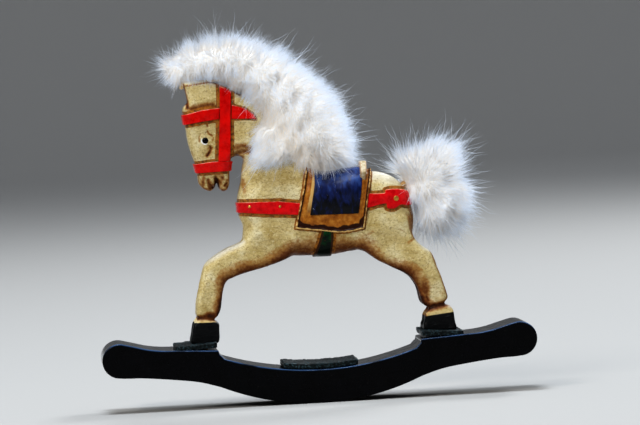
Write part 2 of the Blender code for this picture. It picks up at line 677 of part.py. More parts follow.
def make_fur():
    above_straps = CHEEK_TOP_Z + 2 * GAP
    behind_straps = NECK_STRAP_END + 2 * GAP
    poll_x = CHEEK_TOP_X
    hide = [(FACE_X - 0.002, above_straps), (poll_x, above_straps),
            (poll_x, BROW_Z + 0.0045), (behind_straps, BROW_Z + 0.0045), (behind_straps, BROW_Z - 0.0045),
            neck_point((0.36, 0.40)), neck_point((0.53, 0.18)),
            (CLOTH_FRONT_TOP - 0.0040, BACK - 0.0030), (CLOTH_FRONT_TOP - 0.0012, BACK - 0.0030),
            (CLOTH_FRONT_TOP - 0.0012, POLL + 0.02), (FACE_X - 0.002, POLL + 0.02)]
    half = STRAP_APART - 2 * GAP
    wrapped("mane_hide", hide, GAP, HIDE_THICKNESS, hide_skin, -half, half)
    mane_sections = (       # front and back points in the neck's box, share of the half width
        ((-0.66, 1.24), (-0.58, 1.08), 0.25), ((-0.40, 1.48), (-0.42, 1.05), 0.60),
        ((0.13, 1.56), (-0.08, 1.07), 0.85), ((0.46, 1.44), (0.16, 0.91), 0.95),
        ((0.85, 1.18), (0.24, 0.64), 1.00), ((1.21, 0.88), (0.28, 0.37), 1.00),
        ((1.33, 0.49), (0.50, 0.14), 0.90), ((1.34, 0.21), (0.80, 0.02), 0.65),
        ((1.33, 0.12), (1.06, 0.07), 0.35))
    mane = loft("mane_fur", [(neck_point(a), neck_point(b), MANE_HALF_WIDTH * w)
                             for a, b, w in mane_sections], 2.2)
    root, out = tail_root()
    tail_sections = (       # front and back offsets from the tail's root, share of the half width
        ((0.0010, 0.0160), (-0.0060, 0.0125), 0.30), ((0.0198, 0.0210), (-0.0032, 0.0050), 0.85),
        ((0.0285, 0.0070), (0.0013, -0.0030), 1.00), ((0.0323, -0.0067), (0.0041, -0.0110), 1.00),
        ((0.0268, -0.0182), (0.0068, -0.0202), 0.72), ((0.0195, -0.0230), (0.0118, -0.0250), 0.35))
    tail = loft("tail_fur", [((root.x + a[0], root.z + a[1]), (root.x + b[0], root.z + b[1]),
                              TAIL_HALF_WIDTH * w) for a, b, w in tail_sections], 2.2)
    clear = HIDE_THICKNESS + 2 * GAP
    saddle = CLOTH_THICKNESS + SEAT_THICKNESS + CANTLE_RISE + 3 * GAP
    combine(mane, horse_form("form", clear), "DIFFERENCE")
    above_saddle = plate("saddle_space", [(CLOTH_FRONT_LOW - GAP, BELLY), (RUMP_X, BELLY),
                                          (RUMP_X, BACK + 0.03), (CLOTH_FRONT_TOP, BACK + 0.03)],
                         -1.0, 1.0)
    combine(above_saddle, trunk_form("form", saddle), "INTERSECT")
    combine(mane, above_saddle, "DIFFERENCE")
    combine(tail, horse_form("form", clear + STRAP_THICKNESS), "DIFFERENCE")
    combine(tail, tail_peg("bore", GAP), "DIFFERENCE")
    finish_piece(mane, white_fur)
    finish_piece(tail, white_fur)


# ---------------------------------------------------------------- build

for old in list(bpy.data.objects):
    bpy.data.objects.remove(old)

black_gloss = material("black_gloss", (0.006, 0.006, 0.008), 0.18)
black_rough = material("black_rough", (0.012, 0.016, 0.017), 0.60)
cream_paint = material("cream_paint", (0.62, 0.52, 0.30), 0.40)
red_paint = material("red_paint", (0.62, 0.01, 0.01), 0.25)
green_paint = material("green_paint", (0.01, 0.09, 0.03), 0.35)
navy_paint = material("navy_paint", (0.01, 0.03, 0.14), 0.30)
brown_paint = material("brown_paint", (0.22, 0.10, 0.02), 0.40)
hide_skin = material("hide_skin", (0.72, 0.62, 0.48), 0.80)
white_fur = material("white_fur", (0.80, 0.82, 0.84), 0.90)
raw_wood = material("raw_wood", (0.50, 0.33, 0.16), 0.60)
steel = material("steel", (0.50, 0.50, 0.50), 0.35, 1.0)
brass = material("brass", (0.60, 0.42, 0.12), 0.30, 1.0)

make_rocker_board()
make_slats()
make_base_fasteners()
make_body()
make_legs()
make_bridle()
make_body_straps()
make_saddle()
make_fur()
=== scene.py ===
"""Looks of the carved and painted rocking-horse ornament, built round its CAD frame.

Shapes are worked out in millimetres in the frame of the CAD: the horse looks along -X, its
left side is -Y, and the ground is z = 0. A carved piece is a distance field, which is less
than zero inside the wood, skinned as one even mesh.
"""

import math

import bmesh
import bpy
import numpy as np
from mathutils import Matrix, Vector


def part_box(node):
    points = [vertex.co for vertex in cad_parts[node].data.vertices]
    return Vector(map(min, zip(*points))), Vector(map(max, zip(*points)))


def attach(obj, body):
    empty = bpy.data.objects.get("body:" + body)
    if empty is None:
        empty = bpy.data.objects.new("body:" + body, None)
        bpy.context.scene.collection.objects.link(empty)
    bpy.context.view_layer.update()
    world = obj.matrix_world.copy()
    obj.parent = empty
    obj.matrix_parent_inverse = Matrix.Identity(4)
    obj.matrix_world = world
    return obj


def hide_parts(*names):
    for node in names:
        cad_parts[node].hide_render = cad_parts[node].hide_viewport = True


MM = 0.001
BODY_STEP, LEG_STEP, STRAP_STEP, LAYER_STEP = 0.5, 0.45, 0.27, 0.3      # mesh sizes
SADDLE_STEP, SLAT_STEP, FUR_STEP = 0.38, 0.33, 0.9
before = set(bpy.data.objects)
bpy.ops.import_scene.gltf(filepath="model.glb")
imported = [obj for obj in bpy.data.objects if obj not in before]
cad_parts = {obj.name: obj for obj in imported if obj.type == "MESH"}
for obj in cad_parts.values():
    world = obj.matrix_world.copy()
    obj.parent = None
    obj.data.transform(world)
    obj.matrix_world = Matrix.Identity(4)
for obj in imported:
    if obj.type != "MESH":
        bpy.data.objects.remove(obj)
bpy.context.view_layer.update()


def node_box(name):
    """Lowest and highest corner of a CAD node, in millimetres."""
    low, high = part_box(name)
    return np.array(low) / MM, np.array(high) / MM


BODY_LOW, BODY_HIGH = node_box("body")
BOARD_LOW, BOARD_HIGH = node_box("rocker_board")
FOOT = node_box("front_leg_left")[0][2]         # underside of the hooves
BARREL_HALF = BODY_HIGH[1]                      # half width of the trunk
HEAD_HALF = 8.5
NECK_HALF = 9.0
LEG_HALF = 4.25
LEG_TOP = 62.0                  # strokes that start below it are on the legs
EYE = (-47.1, 122.8)
EYE_RADIUS = 1.4
LEG_MIDDLE = node_box("front_leg_right")[0][1] + LEG_HALF

# ---------------------------------------------------------------- outlines and fields


def through(points, closed=True, steps=5):
    """A smooth line through a row of points of the side view."""
    p = np.array(points, float)
    count = len(p)
    spans = count if closed else count - 1
    line = []
    for i in range(spans):
        if closed:
            a, b, c, d = (p[(i + k) % count] for k in (-1, 0, 1, 2))
        else:
            a, b, c, d = (p[min(max(i + k, 0), count - 1)] for k in (-1, 0, 1, 2))
        chord = max(np.hypot(*(c - b)), 1e-6)
        pull_b = (c - a) * chord / (chord + max(np.hypot(*(b - a)), 1e-6))
        pull_c = (d - b) * chord / (chord + max(np.hypot(*(d - c)), 1e-6))
        for t in np.arange(steps) / steps:
            line.append((2 * t ** 3 - 3 * t ** 2 + 1) * b + (t ** 3 - 2 * t ** 2 + t) * pull_b
                        + (3 * t ** 2 - 2 * t ** 3) * c + (t ** 3 - t ** 2) * pull_c)
    if not closed:
        line.append(p[-1])
    return np.array(line)


def away_from(x, z, line, closed=False):
    """Distance in the side view from a line, less than zero inside a closed one."""
    nearest = np.full(np.broadcast(x, z).shape, 1e9)
    inside = np.zeros(nearest.shape, bool)
    ends = np.roll(line, -1, axis=0) if closed else line[1:]
    for (ax, az), (bx, bz) in zip(line, ends):
        dx, dz = bx - ax, bz - az
        t = np.clip(((x - ax) * dx + (z - az) * dz) / max(dx * dx + dz * dz, 1e-12), 0, 1)
        nearest = np.minimum(nearest, (x - ax - t * dx) ** 2 + (z - az - t * dz) ** 2)
        if closed and az != bz:
            level = (az > z) != (bz > z)
            inside ^= level & (x < (z - az) * dx / dz + ax)
    nearest = np.sqrt(nearest)
    return np.where(inside, -nearest, nearest)


def rounded(a, b, radius):
    """Where two fields overlap, with the edge between them rounded."""
    a, b = a + radius, b + radius
    return np.minimum(np.maximum(a, b), 0) + np.hypot(np.maximum(a, 0), np.maximum(b, 0)) - radius


def melt(a, b, reach):
    """Two fields run together with a soft fillet."""
    share = np.clip(0.5 + 0.5 * (b - a) / reach, 0, 1)
    return b * (1 - share) + a * share - reach * share * (1 - share)


def soft_step(value, low, high):
    """0 below low and 1 above high, or the reverse, with a soft rise between."""
    t = np.clip((value - low) / (high - low), 0, 1)
    return t * t * (3 - 2 * t)


def swell(x, y, z, size, seed):
    """Slow, uneven waves about -1 to 1, as a hand leaves in wood or fur."""
    waves = np.random.default_rng(seed)
    total = 0
    for _ in range(5):
        way = waves.normal(size=3)
        way *= 2 * math.pi / size / np.linalg.norm(way) * waves.uniform(0.7, 1.5)
        total = total + np.sin(x * way[0] + y * way[1] + z * way[2] + waves.uniform(0, 6.3))
    return total / 2.5


# ---------------------------------------------------------------- skinning a field


def skin(field, low, high, step):
    """An even mesh of quads over the zero surface of a field, and its points."""
    axes = [np.arange(a, b + step, step) for a, b in zip(low, high)]
    shape = tuple(len(axis) for axis in axes)
    values = np.broadcast_to(field(axes[0][:, None, None], axes[1][None, :, None],
                                   axes[2][None, None, :]), shape)
    spots, owners, quads = [], [], []
    for axis in range(3):
        u, v = (axis + 1) % 3, (axis + 2) % 3
        first = np.take(values, range(shape[axis] - 1), axis)
        second = np.take(values, range(1, shape[axis]), axis)
        index = np.argwhere((first < 0) != (second < 0))
        index = index[(index[:, u] > 0) & (index[:, v] > 0)
                      & (index[:, u] < shape[u] - 1) & (index[:, v] < shape[v] - 1)]
        a, b = first[tuple(index.T)], second[tuple(index.T)]
        spot = index.astype(float)
        spot[:, axis] += a / (a - b)
        around = []
        for du, dv in ((0, 0), (-1, 0), (-1, -1), (0, -1)):
            cell = index.copy()
            cell[:, u] += du
            cell[:, v] += dv
            around.append(np.ravel_multi_index(cell.T, shape))
            spots.append(spot)
        quad = np.stack(around, 1)
        quad[a > 0] = quad[a > 0][:, ::-1]
        quads.append(quad)
        owners.extend(around)
    owners, quads = np.concatenate(owners), np.concatenate(quads)
    cells, place = np.unique(owners, return_inverse=True)
    spots = np.concatenate(spots)
    count = np.bincount(place)
    points = np.stack([np.bincount(place, spots[:, k]) / count for k in range(3)], 1)
    return np.array(low) + points * step, np.searchsorted(cells, quads)


def smooth_normals(piece):
    normals = np.zeros(len(piece.data.vertices) * 3, np.float32)
    piece.data.vertex_normals.foreach_get("vector", normals)
    return normals.reshape(-1, 3).astype(float)


def add_mark(piece, mark, values):
    """A number at each vertex, for a finish or the hair to read."""
    attribute = piece.data.attributes.new(mark, "FLOAT", "POINT")
    attribute.data.foreach_set("value", np.asarray(values, np.float32))


def add_object(name, data):
    made = bpy.data.objects.new(name, data)
    bpy.context.scene.collection.objects.link(made)
    return made


def declare(piece, nodes=()):
    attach(piece, "root")
    if nodes:
        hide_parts(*nodes)


def finished(name, mesh, finish, nodes):
    """A piece with its finish, declared at once unless it has no nodes yet."""
    mesh.materials.append(finish)
    mesh.shade_smooth()
    piece = add_object(name, mesh)
    if nodes:
        declare(piece, nodes)
    return piece


def carve(name, field, low, high, step, finish, node):
    """The piece inside a field, with its points and their normals."""
    points, faces = skin(field, low, high, step)
    mesh = bpy.data.meshes.new(name)
    mesh.from_pydata((points * MM).tolist(), [], faces.tolist())
    piece = finished(name, mesh, finish, [node])
    return piece, points, smooth_normals(piece)


def from_bmesh(name, shape, finish, nodes=()):
    bmesh.ops.recalc_face_normals(shape, faces=shape.faces)
    mesh = bpy.data.meshes.new(name)
    shape.to_mesh(mesh)
    shape.free()
    return finished(name, mesh, finish, nodes)


def ring(shape, radius, height, sides):
    """Vertices in a level circle."""
    return [shape.verts.new((radius * math.cos(a), radius * math.sin(a), height))
            for a in np.arange(sides) * 2 * math.pi / sides]


def sew(shape, rows):
    """Quads between rows of vertices that each go round."""
    for row, following in zip(rows, rows[1:]):
        for i in range(len(row)):
            j = (i + 1) % len(row)
            shape.faces.new((row[i], following[i], following[j], row[j]))


def outward(field, points, reach=0.2):
    """Unit vectors that point straight out of a field at the points."""
    x, y, z = points.T
    slope = np.stack([field(x + reach, y, z) - field(x - reach, y, z),
                      field(x, y + reach, z) - field(x, y - reach, z),
                      field(x, y, z + reach) - field(x, y, z - reach)], 1)
    return slope / np.maximum(np.linalg.norm(slope, axis=1, keepdims=True), 1e-9)


# ---------------------------------------------------------------- the carved horse

HEAD = through([
    (-55.7, 149.4), (-55.1, 146.6), (-54.5, 143.6), (-54.3, 140.6), (-55.9, 138.6), (-56.4, 136.6),
    (-56.1, 134.5), (-55.5, 129), (-54.6, 121.5), (-52.6, 114.5), (-51.2, 107.5), (-50.8, 103),
    (-48.8, 100.5), (-46, 99.5), (-44, 100.6), (-42.7, 103.4), (-41.7, 100.3), (-40, 99),
    (-37.9, 99.8), (-36.8, 103), (-36.6, 108), (-35.8, 113), (-33.6, 114.6), (-28, 117),
    (-22.5, 124), (-22.5, 133), (-27.5, 141), (-33.2, 145.2), (-39.6, 148.4), (-45.5, 150),
    (-52.5, 150.2)])
NECK = through([
    (-34, 117), (-31.6, 114.9), (-29.8, 113), (-30.6, 109), (-31.6, 102.5), (-32.6, 94), (-32, 86),
    (-18, 80), (2, 86), (5, 99), (-2, 110), (-9, 122), (-17, 133), (-26, 141), (-35, 143)])
TRUNK = through([
    (-32.6, 95), (-31.7, 88), (-31.5, 82), (-31.9, 77.5), (-30.3, 73.5), (-24, 69.6), (-11, 67.9),
    (0, 67.2), (8, 67.1), (20, 68.6), (30, 70.4), (40, 71.4), (45.4, 73.4), (46.9, 79), (47, 84),
    (46.3, 88.5), (44.6, 94), (41.2, 99), (36.2, 102.4), (30, 104.2), (22, 104.3), (8, 103.3),
    (-6, 103.6), (-18, 105), (-28, 102)])
FRONT_LEG = through([
    (-58.2, FOOT), (-57.8, 34.7), (-57, 38.8), (-55.6, 41), (-55.3, 44.2), (-54.9, 48), (-53.6, 54),
    (-51.9, 60.6), (-50.2, 65.4), (-47.1, 68.3), (-39.2, 72.7), (-31.5, 76.2), (-27, 84), (-12, 84),
    (-6, 75), (-11, 67.6), (-16.5, 64.9), (-20.6, 63.7), (-28.3, 61.8), (-36.1, 59.8),
    (-40.6, 57.9), (-42.5, 54.2), (-43.4, 50), (-44.4, 44.5), (-46.1, 40.6), (-45.3, 38.4),
    (-45.3, 35.5), (-46.2, FOOT)], steps=4)
HIND_LEG = through([
    (49.1, FOOT), (49.3, 36.6), (50.7, 40), (48.6, 42.8), (47.9, 45.5), (47, 49.3), (44.9, 53.4),
    (42, 56.4), (38.3, 58.6), (30.9, 62.4), (25.4, 66.3), (20, 72), (26, 86), (42, 84),
    (46.4, 73.2), (49.6, 69.3), (53.3, 66.6), (55.2, 63.6), (56.7, 58.3), (58.3, 53.3),
    (59.9, 47.8), (60.5, 44.6), (59.7, 42.4), (62.3, 39.6), (63.2, 34), (63.4, FOOT)], steps=4)

# Carved strokes on both sides: line, half width, depth, darkness of the stain.
CUTS = (
    (((-46, 131), (-45.7, 129.2)), 0.45, 0.35, 1),  # above the eye
    (((-45.9, 127), (-45.2, 125.6), (-43.9, 125)), 0.55, 0.55, 0.9),
    (((-43.2, 123.9), (-43.6, 122.8)), 0.4, 0.3, 0.7),
    (((-48.9, 126), (-49.9, 124.6), (-49.8, 122.4)), 0.45, 0.3, 0.8),
    (((-45, 120), (-44.6, 118.8), (-45.6, 117), (-46.6, 115.8)), 0.6, 0.6, 0.95),
    (((-45.9, 119.2), (-43.8, 119.3)), 0.4, 0.3, 0.6),
    (((-52.6, 137.6), (-48, 138.4), (-42.6, 138.9)), 1.25, 0.40, 0.72),  # above the browband
    (((-46.6, 104.6), (-46.1, 102.6), (-45, 101.4)), 0.9, 1.2, 1),  # nostril
    (((-42.6, 101), (-42.8, 104.2), (-43.2, 105.4)), 0.8, 1.6, 1),  # mouth
    (((-49.6, 104.5), (-48.4, 102.2)), 0.6, 0.5, 0.6),
    (((-39.2, 101.6), (-38.2, 102.8)), 0.7, 0.6, 0.9),
    (((-35, 114.6), (-32.4, 116.4), (-28.8, 117), (-25.6, 116.2)), 1.3, 0.9, 0.75),  # throat
    (((-56, 149.6), (-55.3, 146), (-54.5, 141), (-54.3, 138)), 0.7, 0.10, 1),
    (((-55, 148.1), (-49.3, 148.8), (-42.8, 149.4), (-39.6, 148.2)), 0.45, 0.20, 0.85),
    (((-39.6, 148.2), (-33.2, 144.6), (-29.9, 142.8)), 0.45, 0.20, 0.85),
    # Painted shadow: the dark line under the jaw, from its corner towards the tuft.
    (((-34.2, 118.6), (-29.5, 119.6), (-25.2, 117.2)), 1.2, 0.20, 0.70),
    (((-30.8, 103.5), (-30.4, 100), (-30.2, 96.8)), 1.1, 0.10, 0.42),
    (((-54, 41.6), (-51.6, 41.8), (-48.6, 40.9), (-46.2, 40.2)), 1.15, 1.1, 1),  # pasterns
    (((-49.4, 43.6), (-47.2, 42.6)), 0.8, 0.6, 0.8),
    (((49.6, 39.2), (52.6, 40.6), (60.2, 42)), 1.15, 1, 1),
    # Its darkness is painted shade: the shaded front face of the far hind leg.
    (((49.2, 40), (49, 36.5), (49.3, 34)), 0.9, 0.4, 0.9),
    (((47.6, 51.2), (49.4, 47.6), (51.4, 43.8)), 1, 0.5, 0.75),  # hind cannon
    (((46, 76.5), (46.4, 72.6), (43.6, 70.8)), 0.8, 0.6, 0.8))  # under the rump


def horse_field(x, y, z):
    """Trunk, neck and head, without the legs."""
    side = np.abs(y)
    trunk_half = BARREL_HALF - 0.0016 * (z - 86) ** 2 - 1.3 * soft_step(x, 30, 48)
    trunk = rounded(away_from(x, z, TRUNK, True), side - trunk_half, 8.6)
    neck = rounded(away_from(x, z, NECK, True), side - NECK_HALF, 5.2)
    head_half = HEAD_HALF - 2.2 * soft_step(z, 118, 99) - 0.6 * soft_step(z, 138, 150)
    head = rounded(away_from(x, z, HEAD, True), side - head_half, 3.4)
    body = melt(melt(trunk, neck, 3.5), head, 1.6)
    return body + carving(x, y, z, False)


def carving(x, y, z, on_legs):
    """What the gouge takes off the sides, and the slight unevenness of hand work."""
    taken = 0.10 * swell(x, y, z, 11.0, 3) + 0.05 * swell(x, y, z, 4.0, 5)
    on_side = soft_step(np.abs(y), 1.0, 3.0)
    for line, half, depth, _ in CUTS:
        if (line[0][1] <= LEG_TOP) == on_legs:
            taken = taken + on_side * depth * np.exp(-(away_from(x, z, np.array(line)) / half) ** 2)
    return taken


def leg_field(outline):
    """Both legs of a pair: narrower at the cannon, with sharper edges at the hoof."""
    def field(x, y, z):
        across = np.abs(np.abs(y) - LEG_MIDDLE)
        width = LEG_HALF - 0.5 * soft_step(z, 60, 44) + 0.45 * soft_step(z, 41, 37)
        edge = 2.4 + 1.2 * soft_step(z, 50, 64) - 1.3 * soft_step(z, 41, 38)
        leg = rounded(away_from(x, z, outline, True), across - width, edge)
        return leg + carving(x, y, z, True)
    return field


def occluded(field, points, normals, reaches=(0.8, 2.0, 4.0)):
    """How deep each point lies in a recess, 0 to 1."""
    total = 0
    for reach in reaches:
        x, y, z = (points + normals * reach).T
        total = total + np.clip(1 - field(x, y, z) / reach, 0, 1)
    return total / len(reaches)


def side_view(x, z):
    """Signed distance to the side outline of the trunk and the legs together."""
    return np.minimum.reduce([away_from(x, z, line, True) for line in (TRUNK, FRONT_LEG, HIND_LEG)])


def under_edge(x, z):
    """1 along the edges that face down or under the belly, fading out further in."""
    reach = 0.4
    inset = np.maximum(-side_view(x, z), 0)
    inward = 0.6 * np.clip((7 - x) / 12, -1, 1)
    facing = (inward * (side_view(x + reach, z) - side_view(x - reach, z))
              - 0.8 * (side_view(x, z + reach) - side_view(x, z - reach))) / (2 * reach)
    depth = 6.4 + 5.0 * np.exp(-((x - 7) / 17) ** 2) - 2.0 * soft_step(z, 58, 50)
    return soft_step(facing, 0.1, 0.7) * np.clip(1.08 - inset / depth, 0, 1)


# Dark patches low on the legs: middle, reach each way, darkness. The one at (49.6, 40) is painted
# shade: it stands for the shaded front face of the far hind leg.
BLOTCHES = (((-49.0, 42.0), (3.6, 2.3), 1.15), ((49.6, 40.0), (1.3, 3.4), 1.0),
            ((50.0, 49.0), (2.8, 6.5), 0.85))


def stain_and_light_marks(field, piece, points, normals):
    """Where the brown stain and the painted shade, the painted highlight on faces that look up, the
    gold-brown borders and the black of the hooves lie.
    """
    x, y, z = points.T
    muzzle = soft_step(z, 109, 105) * (x < -34) * (z > 96)
    stain_and_shade = np.maximum.reduce([
        # Painted shade in the recesses, where the brown stain also gathers.
        1.1 * soft_step(occluded(field, points, normals), 0.12, 0.55),
        # Painted shade on faces that look down, over some real brown.
        0.80 * soft_step(-normals[:, 2], 0.15, 0.9),
        # Painted shade along the undersides of the belly and legs, over some real brown.
        1.02 * under_edge(x, z) * (z < 96),
        # Painted shade on faces turned to the rear.
        0.70 * soft_step(normals[:, 0], 0.55, 0.98) * (z > 40),
        muzzle * (0.50 + 0.34 * swell(x, y, z, 3.2, 23))]
        + [dark * np.exp(-(away_from(x, z, np.array(line)) / half / 1.2) ** 2)
           for line, half, _, dark in CUTS])
    stain_and_shade = stain_and_shade + 0.16 * swell(x, y, z, 14.0, 21) * (stain_and_shade > 0.05)
    # Darker towards the bottom of the legs, more on the hind legs.
    stain_and_shade = stain_and_shade + 0.05 * soft_step(z, 70, 55) + 0.16 * soft_step(z, 58, 44) * (x > 0)
    for place, reach, dark in BLOTCHES:
        near = ((x - place[0]) / reach[0]) ** 2 + ((z - place[1]) / reach[1]) ** 2
        stain_and_shade = np.maximum(stain_and_shade, dark * np.exp(-near ** 1.5))
    border = np.zeros(len(points))
    for outline, width in BORDERED:
        gap = away_from(x, z, outline, True)
        border = np.maximum(border, 1 - soft_step(gap, width - 0.35, width + 0.25))
    add_mark(piece, "stain_and_shade", np.clip(stain_and_shade, 0, 1.2))
    # Painted highlight: faces that look up are laid pale in the cream finish, standing for the sky's
    # reflection on the paint.
    add_mark(piece, "top", soft_step(normals[:, 2], 0.30, 0.95))
    add_mark(piece, "border", border)
    rise = z - np.where(x > 0, 36.9 + 0.10 * (x - 55), 39.2 - 0.02 * (x + 52))
    add_mark(piece, "hoof", rise)
    eye = np.hypot(x - EYE[0], z - EYE[1])
    turn = np.arctan2(z - EYE[1], x - EYE[0])
    white = np.exp(-((eye - EYE_RADIUS - 0.30) / 0.45) ** 2) * (0.3 + 0.7 * soft_step(
        np.cos(turn - 3.9), -0.25, 0.5))
    add_mark(piece, "eye_white", white * (z > 100))


def make_horse():
    """The carved body, and four legs that melt into it and stop on the slats."""
    stain_and_light_marks(horse_field, *carve("carved_body", horse_field, BODY_LOW - 2.5, BODY_HIGH + 2.5,
                                   BODY_STEP, cream, "body"))
    for word, outline in (("front", FRONT_LEG), ("hind", HIND_LEG)):
        one_leg = leg_field(outline)

        def legs(x, y, z):
            joined = melt(horse_field(x, y, z) + 0.18, one_leg(x, y, z), 3.0)
            return np.maximum(joined, FOOT - z)

        low_x, high_x = outline[:, 0].min() - 3, outline[:, 0].max() + 3
        for side_word, side in (("left", -1), ("right", 1)):
            def leg(x, y, z):
                near = np.maximum(legs(x, y, z), -(side * y) + 0.6)
                return np.maximum(near, -horse_field(x, y, z) - 1.2)

            span = sorted((side * -1.0, side * 13.5))
            node = f"{word}_leg_{side_word}"
            stain_and_light_marks(legs, *carve(f"carved_{node}", leg, (low_x, span[0], FOOT - 1.2),
                                    (high_x, span[1], 90), LEG_STEP, cream, node))


def make_eyes():
    for word, side in (("left", -1), ("right", 1)):
        centre = seated(np.array([EYE[0], 0, EYE[1]]), side)
        shape = bmesh.new()
        bmesh.ops.create_uvsphere(shape, u_segments=40, v_segments=24, radius=EYE_RADIUS * MM)
        bmesh.ops.scale(shape, vec=(1, 0.62, 1), verts=shape.verts)
        bmesh.ops.translate(shape, vec=Vector(centre * MM), verts=shape.verts)
        from_bmesh(f"{word}_eye_bead", shape, bead, [f"{word}_eye"])


# ---------------------------------------------------------------- tack

BROWBAND = np.array([
    (-62, 129.6), (-56, 130.3), (-48, 131.4), (-40.2, 132.2), (-39.6, 137.4), (-48, 136.8),
    (-55, 135.2), (-62, 134.4)])
NOSEBAND = np.array([
    (-62, 107.6), (-44, 108), (-33.2, 108.2), (-33.2, 112.6), (-39.6, 112.9), (-44, 112.9),
    (-52, 112.2), (-62, 112)])
CHEEK_STRAP = np.array([
    (-41.6, 112.7), (-36, 112.7), (-35.4, 122), (-34.9, 132), (-34, 144.6), (-36.6, 146.6),
    (-39.2, 147.4), (-39.8, 135)])
NECK_STRAP = np.array([
    (-34.6, 131.9), (-28, 131.7), (-23.4, 131.4), (-24, 133.4), (-28.2, 136.6), (-34.2, 138.6)])
LAYER_EDGE = 0.35               # rounding of a layer's arrises
LAYER_ROOT = 1.0                # how far a layer reaches into the wood
RED_SLOT = "red_painted_strap"
STRAP_RISE = 0.95
TRUNK_STRAP_RISE = 0.75
CLOTH_FRONT = np.array([(-2.3, 104.5), (-3.4, 99), (-8.2, 80.2)])
CLOTH_REAR = np.array([(23.6, 78.5), (26.6, 95), (28.6, 104.5)])
CLOTH_LOW = through([(-8.2, 80.2), (3, 78.6), (14, 77.2), (23.6, 78.5)], closed=False)
BREAST_STRAP = np.array([
    (-40, 88.7), (-31, 88.5), (-20, 87.4), (-4, 86.2), (-4, 91.6), (-15, 93.2), (-31, 93.5),
    (-40, 93.6)])
CRUPPER_STRAP = through([
    (24, 88), (34.2, 89.4), (34.6, 87.2), (38, 86.8), (41.2, 88.4), (44.2, 87.8), (50, 89),
    (50, 92.6), (43.4, 95.2), (38, 96), (34.2, 95.6), (33.8, 94.3), (24, 93.9)], steps=3)
GIRTH = np.array([(-2.2, 62), (7.8, 62), (8.8, 72), (9.3, 80), (4.6, 80), (2, 72)])
CLOTH = np.concatenate([CLOTH_FRONT, CLOTH_LOW[1:], CLOTH_REAR[1:],
                        [(30.4, 115), (-0.5, 115)]])
BORDERED = ((BROWBAND, 1.5), (NOSEBAND, 1.3), (CHEEK_STRAP, 1.7), (NECK_STRAP, 0.8),
            (BREAST_STRAP, 1.5), (CRUPPER_STRAP, 1.4), (GIRTH, 1.4), (CLOTH, 0.7))


def make_layer(name, outline, top, finish, node, step=LAYER_STEP, span=None,
               cut=None):
    """A layer on the horse inside a side outline, from below its skin to top above it."""
    def field(x, y, z):
        horse = horse_field(x, y, z)
        rise = top(x, y, z) if callable(top) else top
        layer = rounded(away_from(x, z, outline, True), horse - rise, LAYER_EDGE)
        layer = np.maximum(layer, -LAYER_ROOT - horse)
        return layer if cut is None else np.maximum(layer, cut(x, y, z))

    reach = span or (-BARREL_HALF - 4, BARREL_HALF + 4)
    low = np.array([max(outline[:, 0].min(), BODY_LOW[0] - 2), reach[0],
                    max(outline[:, 1].min(), BODY_LOW[2] - 2)]) - 1
    high = np.array([min(outline[:, 0].max(), BODY_HIGH[0] + 2), reach[1],
                     min(outline[:, 1].max(), BODY_HIGH[2] + 2)]) + 1
    piece, points, normals = carve(name, field, low, high, step, finish, node)
    x, _, z = points.T
    inset = -away_from(x, z, outline, True)
    add_mark(piece, "inset", inset)
    # Painted highlight along the arrises that face up.
    add_mark(piece, "arris_highlight", soft_step(normals[:, 2], 0.35, 0.8) * (1 - soft_step(inset, 0.4, 0.8)))
    # Depth in a recess, for the painted shade there.
    add_mark(piece, "recess", occluded(field, points, normals, (0.5, 1.2)))
    return piece


def make_bridle():
    wide = HEAD_HALF + 2.5
    for name, outline in (("brow", BROWBAND), ("nose", NOSEBAND)):
        make_layer(f"{name}_band", outline, STRAP_RISE, strap_red, f"{name}band",
                   STRAP_STEP, (-wide, wide))
    for word, side in (("left", -1), ("right", 1)):
        def off_crown(x, y, z):
            return 4.0 - side * y

        span = tuple(sorted((side * 2.0, side * wide)))
        for name, outline, rise in (("cheek", CHEEK_STRAP, STRAP_RISE + 0.12),
                                    ("neck", NECK_STRAP, STRAP_RISE - 0.25)):
            make_layer(f"{name}_band_{word}", outline, rise, strap_red,
                       f"{name}_strap_{word}", STRAP_STEP, span, off_crown)


def make_body_straps():
    for name, outline, finish, slot in (("breast", BREAST_STRAP, trunk_red, RED_SLOT),
                                        ("crupper", CRUPPER_STRAP, trunk_red, RED_SLOT),
                                        ("girth", GIRTH, girth_green, "green_painted_strap")):
        make_layer(f"{name}_band", outline, TRUNK_STRAP_RISE, finish, f"{name}_strap")


CLOTH_RISE = 1.35
SEAT = np.array([
    (1.8, 99.8), (-1, 86), (21.2, 85.6), (23, 95), (24.2, 104), (25.2, 115), (3, 115)])
SEAT_RISE = 2.5
CANTLE = np.array([
    (22.9, 100.6), (25.4, 100.6), (26.2, 106), (27.2, 114), (23.6, 114), (23.2, 106)])
CANTLE_RISE = 5.0


def cloth_top(x, y, z):
    """A thin rim, a groove inside it and a raised band next to the seat."""
    inset = -away_from(x, z, CLOTH, True)
    rim = 0.30 * np.exp(-((inset - 0.5) / 0.45) ** 2)
    groove = -0.50 * np.exp(-((inset - 1.7) / 0.75) ** 2)
    return CLOTH_RISE + rim + groove + 0.18 * swell(x, y, z, 7.0, 31)


def seat_top(x, y, z):
    inset = -away_from(x, z, SEAT, True)
    return SEAT_RISE - 0.5 * (1 - soft_step(inset, 0.0, 4.0)) + 0.10 * swell(x, y, z, 6.0, 33)


def cantle_top(x, y, z):
    return CLOTH_RISE + (CANTLE_RISE - CLOTH_RISE) * soft_step(z, 100.6, 105.0)


